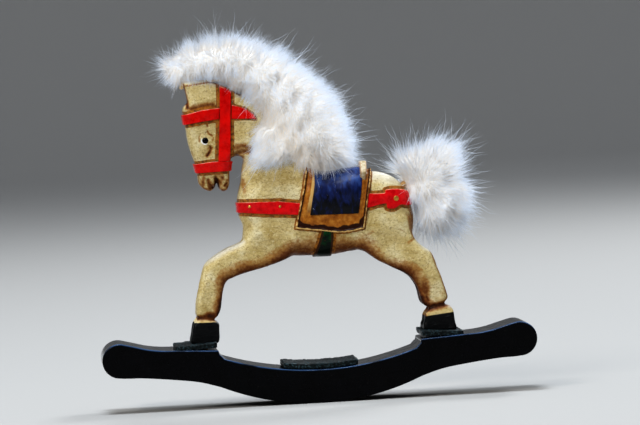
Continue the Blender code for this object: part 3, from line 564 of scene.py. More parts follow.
def make_saddle():
    cloth = make_layer("cloth_frame", CLOTH, cloth_top, cloth_brown,
                       "saddle_cloth", SADDLE_STEP)
    places = np.array([v.co for v in cloth.data.vertices]) / MM
    add_mark(cloth, "low", 1 - soft_step(places[:, 2], 82.0, 84.5))
    add_mark(cloth, "fore", soft_step(places[:, 2], 86.0, 92.0) * (places[:, 0] < 8))
    make_layer("seat_pad", SEAT, seat_top, seat_navy, "saddle_seat",
               SADDLE_STEP)
    make_layer("cantle_edge", CANTLE, cantle_top, cantle_cream, "cantle")


# Half profiles of the tacks: share of the radius, height in millimetres.
RINGED_TACK = ((0, 0.42), (0.35, 0.40), (0.62, 0.16), (0.80, 0.34), (0.95, 0.22), (1.0, -0.3))
ROUND_TACK = ((0, 0.45), (0.45, 0.40), (0.8, 0.22), (1.0, -0.3))


def make_tacks():
    """Gold dots on the breast strap and a small ring with a middle on the crupper strap."""
    for word, side in (("left", -1), ("right", 1)):
        for tack, radius in (("breast_tack", 0.75), ("chest_tack", 0.8), ("crupper_tack", 1.25)):
            node = f"{tack}_{word}"
            low, high = node_box(node)
            centre = (low + high) / 2
            face = seated(centre, side)
            shape = turned_profile(RINGED_TACK if radius > 1 else ROUND_TACK, radius)
            way = outward(horse_field, face[None, :])[0]
            turn = Vector(way).to_track_quat("Z", "Y").to_matrix().to_4x4()
            spot = (face + way * (TRUNK_STRAP_RISE - 0.02)) * MM
            bmesh.ops.transform(shape, verts=shape.verts,
                                matrix=Matrix.Translation(Vector(spot)) @ turn)
            from_bmesh(f"gold_{node}", shape, gold, [node])


def seated(centre, side):
    """The point of the horse's skin straight in from a place beside it."""
    reach = np.linspace(2, BARREL_HALF + 3, 200)
    values = horse_field(centre[0] + 0 * reach, side * reach, centre[2] + 0 * reach)
    inside = np.nonzero(values < 0)[0]
    depth = reach[inside[-1]] if len(inside) else BARREL_HALF
    return np.array([centre[0], side * depth, centre[2]])


def turned_profile(profile, radius, sides=28):
    """A small round form from its half profile, in metres, closed at the back."""
    shape = bmesh.new()
    top = shape.verts.new((0, 0, profile[0][1] * MM))
    rings = [ring(shape, share * radius * MM, height * MM, sides) for share, height in profile[1:]]
    for i in range(sides):
        shape.faces.new((top, rings[0][i], rings[0][(i + 1) % sides]))
    sew(shape, rings)
    shape.faces.new(list(reversed(rings[-1])))
    return shape


# ---------------------------------------------------------------- base

SOLE = (114, 0.0)               # radius and lowest height of the arc below
HOLLOW = (136, 15.4)            # and of the arc on top
ARRIS = 1.1                     # easing of the plank's arrises


def arc_height(x, radius, low):
    return low + radius - np.sqrt(radius ** 2 - x * x)


def board_outline():
    """Side of the rocker: round below, hollow on top, a seat and a round lobe at each end."""
    reach, lobe = BOARD_HIGH[0], 7.9
    middle = (reach - lobe, 24.3)
    x = np.linspace(4, 46, 24)
    half = [(float(a), float(b)) for a, b in zip(x, arc_height(x, *SOLE))]
    half += list(map(tuple, through([half[-2], half[-1], (56.0, 12.6), (68.0, 14.4), (82.0, 15.9),
                                     (middle[0], 16.4), (96.0, 17.9)], closed=False,
                                    steps=6)[6:-7]))
    half += [(middle[0] + lobe * math.cos(a), middle[1] + lobe * math.sin(a))
             for a in np.radians(np.linspace(-90, 100, 22))]
    half += list(map(tuple, through([half[-1], (85.0, 30.6), (78.9, 29.0), (72.8, 28.1),
                                     (66.5, 27.8)], closed=False, steps=6)[1:]))
    half += [(46.5, 26.7), (46.3, 24.9), (45.2, 24.0)]
    x = np.linspace(44.0, 0, 24)
    half += [(float(a), float(b)) for a, b in zip(x, arc_height(x, *HOLLOW))]
    half = np.array(half)
    mirrored = half[:-1][::-1] * [-1, 1]
    return np.concatenate([half, mirrored])


def make_board():
    """The board with its arrises eased, as one plank."""
    outline = board_outline()
    half = BOARD_HIGH[1]
    shape = bmesh.new()
    rows = [[shape.verts.new((x * MM, y * MM, z * MM)) for x, z in outline]
            for y in np.linspace(-half, half, 15)]
    sew(shape, rows)
    shape.faces.new(rows[0])
    shape.faces.new(list(reversed(rows[-1])))
    board = from_bmesh("rocker_plank", shape, gloss_black)
    edges = board.modifiers.new("eased edges", "BEVEL")
    edges.width = ARRIS * MM
    edges.segments = 4
    edges.limit_method = "ANGLE"
    edges.angle_limit = math.radians(50)
    even = board.modifiers.new("even shading", "WEIGHTED_NORMAL")
    even.keep_sharp = False
    bake_modifiers(board)
    up = smooth_normals(board)[:, 2]
    side = np.array([abs(v.co.y) for v in board.data.vertices]) / MM
    # Painted reflection along the upper arrises of the plank.
    add_mark(board, "arris_highlight", soft_step(up, 0.25, 0.6) * soft_step(side, half - 1.3, half - 0.5))
    declare(board, ["rocker_board"])


def bake_modifiers(piece):
    """Make what the modifiers give the piece's own mesh."""
    depsgraph = bpy.context.evaluated_depsgraph_get()
    old = piece.data
    piece.data = bpy.data.meshes.new_from_object(piece.evaluated_get(depsgraph))
    piece.data.name = piece.name
    piece.modifiers.clear()
    bpy.data.meshes.remove(old)


def slat_field(low, high, top, seed):
    """A thin rough board with uneven edges that show wear."""
    def field(x, y, z):
        mid = top(x)
        rough = (0.22 * swell(x, y, z, 5.0, seed) + 0.16 * swell(x, y, z, 2.0, seed + 1)
                 + 0.10 * swell(x, y, z, 1.0, seed + 2))
        ends = np.maximum(low[0] - x, x - high[0])
        sides = np.maximum(low[1] - y, y - high[1])
        flat = np.maximum(z - mid, mid - 2.4 - z)
        return rounded(rounded(ends, sides, 0.6), flat, 0.4) + rough * 0.55
    return field


def make_slats():
    for place in ("front", "middle", "rear"):
        node = f"{place}_slat"
        low, high = node_box(node)
        lean = 0 if place == "middle" else math.copysign(math.tan(math.radians(3)), low[0])

        def top(x, low=low, high=high, lean=lean):
            if lean:
                from_low_end = x - low[0] if lean < 0 else high[0] - x
                return high[2] - abs(lean) * (high[0] - low[0]) + 0.05 + from_low_end * abs(lean)
            return arc_height(np.clip(x, -20, 20), *HOLLOW) + 2.75

        margin = 0.25
        seed = {"front": 41, "middle": 51, "rear": 61}[place]
        field = slat_field(low + margin, high - margin, top, seed)
        piece, points, normals = carve(f"rough_{node}", field, low - 1.2, high + 1.2, SLAT_STEP,
                                       rough_black, node)
        # Depth in a recess, for the painted shade there.
        add_mark(piece, "recess", occluded(field, points, normals, (0.5, 1.2)))


# ---------------------------------------------------------------- fur

MANE = through([
    (-62.5, 156.8), (-59, 160.2), (-54.5, 162.6), (-48, 163.8), (-41, 165.4), (-34.4, 166.4),
    (-27.5, 164.8), (-22, 161.4), (-14.5, 159.2), (-8.5, 154.8), (-2.5, 149.5), (4, 144),
    (9.5, 137.5), (13, 131), (14.8, 124), (16.5, 117), (18, 111.6), (12, 107.8), (5, 106.2),
    (-2, 104.8), (-8, 107.6), (-12, 111.2), (-14, 118), (-18, 124.5), (-20.5, 130), (-21.5, 135),
    (-25.5, 141.5), (-32.5, 147.4), (-42, 152.4), (-52, 151.4), (-58.2, 149.6)])
PARTING = through([
    (-58, 155.5), (-46, 157), (-34, 155.5), (-24, 149), (-13, 139), (-4, 127), (2, 115)], closed=False)
TAIL = through([
    (45.5, 92.5), (44, 100), (41, 106), (46, 109.5), (53, 112.5), (60, 113.6), (65.5, 111.5),
    (67.5, 106), (66.5, 99), (69.5, 93), (70, 88.5), (67, 82), (61.5, 77.5), (56, 76), (52, 80),
    (49.5, 87)])
GROOVE = through([(-17, 133), (-11.5, 126), (-6, 119), (0, 112)], closed=False)
DOCK = through([(43, 96), (48, 98)], closed=False)


def mane_field(x, y, z):
    """The mane about its poll and neck, with the tuft that hangs on the left side."""
    half = (6.0 + 5.5 * soft_step(x, -64, -44) + 2.0 * soft_step(x, -44, -10)
            - 4.5 * soft_step(z, 122, 104))
    mane = rounded(away_from(x, z, MANE, True), np.abs(y) - half, np.minimum(half - 0.5, 8.0))
    tuft = np.sqrt(((x + 18.0) / 6.8) ** 2 + ((y + 11.8) / 4.5) ** 2
                   + ((z - 119.0) / 8.4) ** 2) * 5.0 - 5.0
    return melt(mane, tuft, 0.8) + 0.9 * swell(x, y, z, 13.0, 71) + 0.45 * swell(x, y, z, 5.0, 72)


def tail_field(x, y, z):
    half = 5.0 + 5.5 * soft_step(x, 44, 56)
    tail = rounded(away_from(x, z, TAIL, True), np.abs(y) - half, np.minimum(half - 0.5, 8.0))
    return tail + 0.6 * swell(x, y, z, 12.0, 75) + 0.3 * swell(x, y, z, 5.0, 76)


def lay_of_hair(points, normals, parting, fade, lift, droop):
    """The way the hair lies: away from the parting, off the skin and a little down."""
    x, _, z = points.T
    reach = 0.5
    way = np.stack([away_from(x + reach, z, parting) - away_from(x - reach, z, parting),
                    np.zeros(len(x)),
                    away_from(x, z + reach, parting) - away_from(x, z - reach, parting)], 1)
    way *= (soft_step(away_from(x, z, parting), 0.0, fade) / (2 * reach))[:, None]
    flat = way - normals * np.sum(way * normals, axis=1, keepdims=True)
    lay = flat + normals * lift
    lay[:, 2] -= droop
    for axis, seed in enumerate((81, 82, 83)):
        lay[:, axis] += 0.24 * swell(*points.T, 9.0, seed) + 0.13 * swell(*points.T, 3.0, seed + 5)
    return lay / np.linalg.norm(lay, axis=1, keepdims=True)


class Nodes:
    """A tree of nodes under construction."""

    def __init__(self, tree):
        self.tree = tree

    def feed(self, socket, value):
        """Put a node, a socket or a constant on an input."""
        if isinstance(value, bpy.types.Node):
            value = value.outputs[0]
        if isinstance(value, bpy.types.NodeSocket):
            self.tree.links.new(value, socket)
        else:
            socket.default_value = value

    def node(self, kind, settings=None, **inputs):
        made = self.tree.nodes.new(kind)
        for key, value in (settings or {}).items():
            setattr(made, key, value)
        for key, value in inputs.items():
            name = key.replace("_", " ")
            self.feed(next(s for s in made.inputs if s.enabled and s.name == name), value)
        return made

    def math(self, operation, a, b, kind="ShaderNodeMath"):
        made = self.node(kind, {"operation": operation})
        self.feed(made.inputs[0], a)
        self.feed(made.inputs["Scale" if operation == "SCALE" else 1], b)
        return made.outputs[0]

    def times(self, a, b):
        return self.math("MULTIPLY", a, b)

    def plus(self, a, b):
        return self.math("ADD", a, b)


class Tree(Nodes):
    """A Geometry Nodes tree."""

    def add_socket(self, name, kind, way="INPUT"):
        self.tree.interface.new_socket(name=name, in_out=way, socket_type="NodeSocket" + kind)

    def vector(self, operation, a, b):
        return self.math(operation, a, b, "ShaderNodeVectorMath")

    def chance(self, low, high, seed, kind="FLOAT"):
        made = self.node("FunctionNodeRandomValue", {"data_type": kind}, Min=low, Max=high,
                         Seed=seed)
        return next(s for s in made.outputs if s.enabled)

    def named(self, name, kind="FLOAT"):
        made = self.node("GeometryNodeInputNamedAttribute", {"data_type": kind}, Name=name)
        return next(s for s in made.outputs if s.enabled)


def hair_tree():
    """Tapered hairs over a skin: each follows the lay, with its own turn, length and tone; the tone
    also holds a painted shade in the crease between the tuft and the mane.
    """
    tree = Tree(bpy.data.node_groups.new("hairs on a skin", "GeometryNodeTree"))
    tree.add_socket("Geometry", "Geometry", "OUTPUT")
    for name, kind in (("Skin", "Geometry"), ("Density", "Float"), ("Seed", "Int"),
                       ("Length", "Float"), ("Thickness", "Float"), ("Stray", "Float"),
                       ("Curl", "Float"), ("Finish", "Material")):
        tree.add_socket(name, kind)
    given = tree.node("NodeGroupInput").outputs
    roots = tree.node("GeometryNodeDistributePointsOnFaces", Mesh=given["Skin"],
                      Density=given["Density"], Seed=given["Seed"])
    hair = tree.node("GeometryNodeMeshCone", {"fill_type": "NONE"}, Vertices=3, Side_Segments=4,
                     Radius_Top=0.04, Radius_Bottom=1.0, Depth=1.0)
    place = tree.node("ShaderNodeSeparateXYZ", Vector=tree.node("GeometryNodeInputPosition"))
    marked = tree.node("GeometryNodeStoreNamedAttribute", {"data_type": "FLOAT"}, Geometry=hair,
                       Name="along", Value=place.outputs["Z"])
    stray = tree.vector("SCALE", tree.chance((-1, -1, -1), (1, 1, 1), 11, "FLOAT_VECTOR"),
                        given["Stray"])
    aim = tree.node("FunctionNodeAlignRotationToVector", {"axis": "Z"},
                    Vector=tree.vector("ADD", tree.named("lay", "FLOAT_VECTOR"), stray))
    turn = tree.node("ShaderNodeCombineXYZ", Z=tree.chance(0.0, 6.283, 12))
    spin = tree.node("FunctionNodeRotateRotation", {"rotation_space": "LOCAL"}, Rotation=aim,
                     Rotate_By=tree.node("FunctionNodeEulerToRotation", Euler=turn))
    length = tree.times(given["Length"], tree.chance(0.55, 1.2, 13))
    size = tree.node("ShaderNodeCombineXYZ", X=given["Thickness"], Y=given["Thickness"],
                     Z=tree.times(length, tree.named("reach")))
    spread = tree.node("GeometryNodeInstanceOnPoints", Points=roots, Instance=marked,
                       Rotation=spin, Scale=size)
    toned = tree.node("GeometryNodeStoreNamedAttribute",
                      {"data_type": "FLOAT", "domain": "INSTANCE"}, Geometry=spread, Name="tone",
                      Value=tree.plus(tree.chance(0.0, 0.4, 14), tree.named("crease_shade")))
    real = tree.node("GeometryNodeRealizeInstances", Geometry=toned)
    bend = tree.node("ShaderNodeTexNoise", {"noise_dimensions": "3D"}, Scale=130.0, Detail=1.0,
                     Vector=tree.node("GeometryNodeInputPosition"))
    bend = tree.vector("SUBTRACT", bend.outputs["Color"], (0.5, 0.5, 0.5))
    amount = tree.times(tree.math("POWER", tree.named("along"), 1.5), given["Curl"])
    offset = tree.vector("SCALE", bend, tree.times(amount, given["Length"]))
    curled = tree.node("GeometryNodeSetPosition", Geometry=real, Offset=offset)
    tree.node("NodeGroupOutput", Geometry=tree.node("GeometryNodeSetMaterial", Geometry=curled,
                                                    Material=given["Finish"]))
    return tree.tree


def grow(name, skin_piece, tree, **inputs):
    """One coat of hair over a skin, as a plain mesh."""
    coat = add_object(name, skin_piece.data.copy())
    hairs = coat.modifiers.new("hairs", "NODES")
    hairs.node_group = tree
    names = {item.name: item.identifier for item in tree.interface.items_tree
             if item.item_type == "SOCKET" and item.in_out == "INPUT"}
    for key, value in inputs.items():
        hairs[names[key]] = value
    hairs[names["Finish"]] = fur
    bake_modifiers(coat)
    coat.data.shade_smooth()
    coat.visible_shadow = False
    declare(coat)


# Name, seed, count, then length and thickness in metres, stray and curl of a coat's hairs.
UNDER_COAT = (7400, 0.0082, 0.000070, 0.24, 0.42)
TOP_COAT = ("top_hair", 81, 2200, 0.0115, 0.000090, 0.36, 0.45)
GUARD_COAT = ("guard_hair", 91, 460, 0.0176, 0.000115, 0.50, 0.45)


def make_fur():
    """Each fur is an underfur surface with coats of single hairs on it."""
    tree = hair_tree()
    plans = (("mane", mane_field, MANE, (PARTING, 16.0, 0.60, 0.30), (-68, -22, 98),
              (24, 20, 172), "mane_fur", 4),
             ("tail", tail_field, TAIL, (DOCK, 3.0, 0.40, 0.05), (38, -18, 70), (76, 18, 120),
              "tail_fur", 1))
    for word, field, outline, lie, low, high, node, coats in plans:
        under, points, normals = carve(f"{word}_underfur", field, low, high, FUR_STEP, underfur,
                                       node)
        lay = lay_of_hair(points, normals, *lie)
        x, y, z = points.T
        covered = soft_step(horse_field(x, y, z), 0.0, 3.0)
        short = 0.35 + 0.65 * covered
        short = short * (1 - 0.25 * soft_step(-away_from(x, z, outline, True), 2, 8))
        short = short * (1 - 0.16 * soft_step(np.abs(y), 8, 15))
        add_mark(under, "reach", short * (1 - 0.5 * soft_step(z, 157, 151) * (x < -28)))
        # Painted shade: a yellower tint on the hairs in the crease between the tuft and the mane.
        add_mark(under, "crease_shade", 0.5 * np.exp(-(away_from(x, z, GROOVE) / 6.5) ** 2))
        way = under.data.attributes.new("lay", "FLOAT_VECTOR", "POINT")
        way.data.foreach_set("vector", lay.astype(np.float32).ravel())
        area = sum(face.area for face in under.data.polygons)
        plan = [(f"hair_{coat + 1}", coat + 3) + UNDER_COAT for coat in range(coats)]
        for coat, seed, count, length, thickness, stray, curl in plan + [TOP_COAT, GUARD_COAT]:
            grow(f"{word}_{coat}", under, tree, Density=count / area, Seed=seed, Length=length,
                 Thickness=thickness, Stray=stray, Curl=curl)


# ---------------------------------------------------------------- finishes


def tint(colour):
    """A screen colour, 0 to 255, as the linear colour that a shader takes."""
    return tuple((c / 255 / 12.92 if c <= 10 else ((c / 255 + 0.055) / 1.055) ** 2.4)
                 for c in colour) + (1.0,)


class Finish(Nodes):
    """A paint, metal or hair finish. Colours are screen colours; sizes are in millimetres."""

    def __init__(self, name, **settings):
        self.material = bpy.data.materials.new(name)
        self.material.use_nodes = True
        super().__init__(self.material.node_tree)
        self.shader = self.tree.nodes["Principled BSDF"]
        for key, value in settings.items():
            self.shader.inputs[key.replace("_", " ")].default_value = value
        self.place = self.node("ShaderNodeTexCoord").outputs["Object"]

    def mark(self, name):
        return self.node("ShaderNodeAttribute", {"attribute_name": name}).outputs["Fac"]

    def height(self):
        return self.node("ShaderNodeSeparateXYZ", Vector=self.place).outputs["Z"]

    def stretched(self, stretch):
        if stretch is None:
            return self.place
        return self.node("ShaderNodeMapping", Vector=self.place, Scale=stretch).outputs["Vector"]

    def noise(self, size, detail=3.0, stretch=None, distortion=0.0):
        """Cloudy noise with features about size across."""
        return self.node("ShaderNodeTexNoise", Vector=self.stretched(stretch),
                         Scale=1 / (size * MM), Detail=detail,
                         Distortion=distortion).outputs["Fac"]

    def cracks(self, size, stretch):
        """Distance to the edges of cells about size across."""
        return self.node("ShaderNodeTexVoronoi", {"feature": "DISTANCE_TO_EDGE"},
                         Vector=self.stretched(stretch),
                         Scale=1 / (size * MM)).outputs["Distance"]

    def fit(self, value, low, high, to_low=0.0, to_high=1.0):
        """A value softly taken from one range to another, and held at the ends."""
        return self.node("ShaderNodeMapRange", {"interpolation_type": "SMOOTHSTEP"}, Value=value,
                         From_Min=low, From_Max=high, To_Min=to_low,
                         To_Max=to_high).outputs["Result"]

    def mix(self, share, a, b):
        """Colour a, or b where share is 1."""
        a, b = (tint(c) if isinstance(c, tuple) else c for c in (a, b))
        made = self.node("ShaderNodeMix", {"data_type": "RGBA"}, Factor=share, A=a, B=b)
        return next(s for s in made.outputs if s.type == "RGBA")

    def ramp(self, value, *stops):
        made = self.node("ShaderNodeValToRGB", Fac=value)
        while len(made.color_ramp.elements) < len(stops):
            made.color_ramp.elements.new(0.5)
        for element, (position, colour) in zip(made.color_ramp.elements, stops):
            element.position = position
            element.color = tint(colour)
        return made.outputs["Color"]

    def lay(self, share, colour):
        """Paint a colour over the tone so far."""
        self.tone = self.mix(share, self.tone, colour)

    def shade_recesses(self, low, high, most, colour):
        """Painted shade: lay a colour into the recesses, where shade falls."""
        self.lay(self.fit(self.mark("recess"), low, high, 0, most), colour)

    def done(self, roughness, height, depth):
        """Wire up the tone, the roughness and a bump that is depth deep."""
        self.feed(self.shader.inputs["Base Color"], self.tone)
        self.feed(self.shader.inputs["Roughness"], roughness)
        bump = self.node("ShaderNodeBump", Strength=1.0, Distance=depth * MM, Height=height)
        self.feed(self.shader.inputs["Normal"], bump.outputs["Normal"])
        return self.material


def cream_finish():
    """Cream paint gone yellow, with fine cracks and specks, a brown stain in its hollows that is
    partly painted shade, painted shade under the body and on faces turned to the rear, a painted
    highlight on faces that look up, a gold-brown border along the tack and black hooves."""
    f = Finish("antique cream paint", Coat_Weight=0.04, Coat_Roughness=0.2,
               Specular_IOR_Level=0.14)
    f.tone = f.ramp(f.noise(7, 4), (0.25, (188, 164, 102)), (0.5, (212, 193, 138)),
                    (0.75, (234, 223, 182)))
    grain = f.noise(0.9, 6, (0.8, 1, 1.1), 0.8)
    f.lay(f.fit(grain, 0.48, 0.68, 0, 0.5), (152, 122, 66))
    f.lay(f.fit(grain, 0.44, 0.34, 0, 0.4), (236, 224, 184))
    # Painted highlight: faces that look up are laid pale, as the sky's reflection on the paint.
    f.lay(f.times(f.mark("top"), 0.85), (206, 200, 184))
    cracks = f.fit(f.cracks(2.6, (0.45, 1, 1.2)), 0.0, 0.03, 1, 0)
    broken = f.times(cracks, f.fit(f.noise(5, 3), 0.50, 0.66))
    f.lay(f.times(broken, 0.3), (120, 82, 38))
    specks = f.fit(f.noise(0.8, 3), 0.60, 0.70)
    f.lay(f.times(specks, 0.5), (98, 60, 24))
    ragged = f.times(f.plus(f.noise(1.4, 6), -0.5), 0.75)
    # Brown laid in three steps: partly real stain, partly painted shade in the recesses, under the
    # body and on faces turned to the rear.
    stain_and_shade = f.plus(f.mark("stain_and_shade"), ragged)
    f.lay(f.fit(stain_and_shade, 0.10, 0.60, 0, 0.8), (156, 102, 36))
    f.lay(f.fit(stain_and_shade, 0.45, 0.95, 0, 0.9), (100, 44, 4))
    f.lay(f.fit(stain_and_shade, 0.85, 1.25, 0, 0.9), (46, 17, 2))
    edge = f.plus(f.mark("border"), f.times(ragged, 0.5))
    gilt = f.ramp(f.noise(1.3, 4), (0.35, (96, 52, 12)), (0.6, (168, 106, 32)))
    f.lay(f.fit(edge, 0.4, 0.6, 0, 0.95), gilt)
    f.lay(f.fit(f.mark("eye_white"), 0.45, 0.7), (246, 246, 240))
    hoof = f.plus(f.mark("hoof"), f.times(ragged, 0.6))
    ring = f.times(f.fit(hoof, 0.0, 0.3), f.fit(hoof, 1.3, 2.0, 1, 0))
    ring = f.times(ring, f.fit(stain_and_shade, 0.4, 0.9, 0.8, 0))
    ring = f.times(ring, f.fit(f.noise(2.2, 4), 0.35, 0.6, 0.35, 1))
    f.lay(ring, (216, 194, 136))
    f.lay(f.fit(hoof, 0.0, 0.35, 1, 0), (5, 6, 8))
    rough = f.fit(f.noise(3, 3), 0.3, 0.7, 0.34, 0.55)
    height = f.plus(f.times(grain, 0.5), f.times(cracks, -0.5))
    return f.done(rough, f.plus(height, f.noise(2.4, 3)), 0.2)


def strap_finish(name, light, dark, edge_colour, edge_width, gloss=0.22, shade=(0, 0)):
    """Strap paint with specks, a painted highlight along the upper arrises, painted shade in the
    recesses and its own edge colour. shade says from what height down a painted shade darkens it, and
    how much."""
    f = Finish(name, Coat_Weight=0.08, Coat_Roughness=0.1, Specular_IOR_Level=0.12)
    # Painted shade: darker below the given height.
    dip = f.fit(f.height(), shade[0], shade[0] + 0.008, shade[1], 0)
    f.tone = f.ramp(f.plus(f.noise(4, 4), dip), (0.3, dark), (0.65, light))
    specks = f.fit(f.noise(0.7, 3), 0.66, 0.76)
    f.lay(f.times(specks, 0.5), (120, 60, 20))
    # Painted highlight: pale along the upper arrises.
    arris_highlight = f.times(f.mark("arris_highlight"), f.fit(f.noise(3, 4), 0.36, 0.56))
    f.lay(f.times(arris_highlight, 0.9), (250, 176, 150))
    rim = f.plus(f.mark("inset"), f.times(f.noise(1.2, 4), -0.5))
    f.lay(f.fit(rim, edge_width - 0.35, edge_width, 0.9, 0), edge_colour)
    # Painted shade in the recesses.
    f.shade_recesses(0.35, 0.8, 0.8, (70, 20, 8))
    return f.done(f.fit(f.noise(2, 3), 0.3, 0.7, gloss, gloss + 0.2),
                  f.noise(1.6, 4), 0.08)


def cloth_finish():
    """Gold-brown frame: a bright rim, painted shade in the groove inside it, wider along the lower
    edge, and a streaky gilt band.
    """
    f = Finish("gold-brown frame paint", Coat_Weight=0.04, Coat_Roughness=0.2,
               Specular_IOR_Level=0.12)
    f.tone = f.ramp(f.noise(2.2, 5), (0.3, (126, 70, 18)), (0.5, (164, 100, 32)),
                    (0.75, (196, 136, 56)))
    inset = f.plus(f.mark("inset"), f.times(f.plus(f.noise(1.5, 4), -0.5), 0.9))
    # Painted shade in the groove, wider along the lower edge.
    dip = f.times(f.mark("low"), f.fit(f.noise(6, 3), 0.35, 0.65, 0.6, 2.2))
    groove = f.math("SUBTRACT", inset, dip)
    f.lay(f.fit(groove, 1.0, 1.6, 1, 0), (48, 18, 3))
    inner = f.times(f.fit(inset, 3.4, 3.8), f.mark("fore"))
    f.lay(f.times(inner, 0.8), (222, 184, 116))
    gilt = f.ramp(f.plus(f.noise(1.8, 4), f.times(f.mark("low"), 0.10)),
                  (0.40, (122, 72, 22)), (0.62, (222, 184, 118)))
    f.lay(f.fit(inset, 0.45, 0.75, 1, 0), gilt)
    # Painted shade in the recesses.
    f.shade_recesses(0.4, 0.85, 0.85, (38, 16, 6))
    return f.done(0.36, f.noise(1.0, 5), 0.12)


def navy_finish():
    """Deep blue gloss with lighter streaks up the side, lighter towards the top."""
    f = Finish("navy saddle paint", Coat_Weight=0.04, Coat_Roughness=0.3, Specular_IOR_Level=0.2)
    streaks = f.noise(2.6, 5, (1.3, 1, 0.5), 0.4)
    # Lighter towards the top of the seat.
    streaks_by_height = f.plus(streaks, f.fit(f.height(), 0.085, 0.104, -0.24, 0.08))
    f.tone = f.ramp(streaks_by_height, (0.28, (3, 4, 12)), (0.52, (13, 30, 82)), (0.75, (38, 68, 128)))
    specks = f.fit(f.noise(0.9, 1), 0.76, 0.79)
    f.lay(f.times(specks, 0.8), (200, 205, 215))
    # Painted shade in the recesses.
    f.shade_recesses(0.4, 0.85, 0.8, (6, 8, 20))
    return f.done(f.fit(streaks, 0.3, 0.7, 0.34, 0.55), streaks, 0.25)


def cantle_finish():
    f = Finish("cantle paint", Coat_Weight=0.06, Coat_Roughness=0.25, Specular_IOR_Level=0.25)
    front = f.plus(f.mark("inset"), f.times(f.noise(1.2, 4), -0.5))
    f.tone = f.ramp(f.noise(1.5, 4), (0.35, (168, 146, 104)), (0.65, (214, 202, 176)))
    f.lay(f.fit(front, 0.1, 0.5, 0.6, 0), (150, 100, 50))
    # Painted shade in the recesses.
    f.shade_recesses(0.4, 0.85, 0.8, (66, 32, 12))
    return f.done(0.4, f.noise(1.0, 4), 0.08)


def gloss_black_finish():
    """Thick black gloss over a plank: faint brush waves, dust specks, and a painted bluish reflection
    along the upper arrises.
    """
    f = Finish("black gloss paint", Coat_Weight=0.9, Coat_IOR=1.14,
               Coat_Roughness=0.12, Specular_IOR_Level=0.04)
    f.tone = f.ramp(f.noise(9, 4), (0.3, (1, 1, 2)), (0.7, (4, 4, 7)))
    # Painted reflection: bluish along the upper arrises.
    arris_highlight = f.times(f.mark("arris_highlight"), f.fit(f.noise(4, 4, (0.4, 1, 1)), 0.35, 0.6, 0.2, 1))
    f.lay(f.times(arris_highlight, 0.8), (62, 92, 132))
    dust = f.fit(f.noise(0.6, 2), 0.70, 0.78)
    f.lay(f.times(dust, 0.25), (90, 100, 116))
    waves = f.noise(3.2, 4, (0.25, 1, 1))
    return f.done(f.fit(f.noise(4, 3), 0.3, 0.7, 0.16, 0.34),
                  f.plus(waves, f.times(f.noise(0.8, 3), 0.25)), 0.10)


def rough_black_finish():
    """Thin black paint over rough board, grey-green on its high places where it wears thin, with
    painted shade in the recesses.
    """
    f = Finish("black paint on rough board", Coat_Weight=0.6, Coat_IOR=1.16, Coat_Roughness=0.3,
               Specular_IOR_Level=0.08)
    grain = f.noise(1.2, 6, (1.6, 0.25, 1.6))
    f.tone = f.ramp(grain, (0.35, (4, 7, 8)), (0.55, (18, 28, 30)), (0.78, (72, 96, 104)))
    # Painted shade in the recesses.
    f.shade_recesses(0.3, 0.8, 0.9, (4, 5, 7))
    return f.done(f.fit(grain, 0.3, 0.7, 0.35, 0.6), grain, 0.35)


def fur_finish(name, root, tip, under=False):
    """Soft hair: over an underfur the root and tip colours are those of its fibres."""
    f = Finish(name, Sheen_Weight=0.3, Sheen_Roughness=0.5, Specular_IOR_Level=0.2,
               Roughness=0.75)
    if under:
        fibres = f.noise(0.5, 4, (1, 1, 0.25))
        f.tone = f.mix(f.fit(fibres, 0.3, 0.7), root, tip)
        return f.done(0.9, fibres, 0.5)
    f.tone = f.mix(f.fit(f.mark("along"), 0.05, 0.75), root, tip)
    # The random tone of each hair, and the painted shade in the crease between the tuft and the mane.
    f.lay(f.times(f.mark("tone"), 0.7), (222, 202, 172))
    f.feed(f.shader.inputs["Base Color"], f.tone)
    return f.material


def plain_grain(name, light, dark, roughness, metallic=0.0, specular=0.5):
    f = Finish(name, Metallic=metallic, Specular_IOR_Level=specular)
    grain = f.noise(1.5, 5, (0.3, 1, 1))
    f.tone = f.ramp(grain, (0.3, dark), (0.7, light))
    return f.done(f.fit(grain, 0.3, 0.7, roughness, roughness + 0.15), grain, 0.05)


cream = cream_finish()
strap_red = strap_finish("red bridle paint", (228, 8, 0), (188, 2, 0), (120, 12, 4), 0.0)
trunk_red = strap_finish("red strap paint", (228, 16, 24), (180, 4, 12), (150, 96, 36), 0.0)
# Painted shade: the girth darkens towards its bottom, under the belly.
girth_green = strap_finish("green girth paint", (1, 76, 30), (0, 14, 4), (58, 30, 12), 0.9, 0.3,
                           (0.0695, -0.3))
cloth_brown = cloth_finish()
seat_navy = navy_finish()
cantle_cream = cantle_finish()
gloss_black = gloss_black_finish()
rough_black = rough_black_finish()
bead = plain_grain("black bead", (4, 4, 5), (2, 2, 3), 0.05, specular=0.12)
gold = plain_grain("gold paint", (226, 176, 84), (168, 112, 40), 0.28, 0.6)
raw_wood = plain_grain("bare wood", (196, 158, 104), (148, 106, 60), 0.6)
steel = plain_grain("steel wire", (176, 178, 182), (130, 132, 138), 0.3, 1.0)
hide_skin = plain_grain("fur skin", (226, 206, 164), (184, 150, 96), 0.75)
fur = fur_finish("white rabbit hair", (227, 222, 216), (211, 225, 244))
underfur = fur_finish("white underfur", (218, 211, 201), (226, 228, 232), True)

HIDDEN_NODES = (("hoof_dowel_", raw_wood, "raw_wood"), ("_leg_dowel_", raw_wood, "raw_wood"),
                ("tail_plug", raw_wood, "raw_wood"), ("slat_brad_", steel, "steel_brads"),
                ("mane_hide", hide_skin, "fur_skin"))


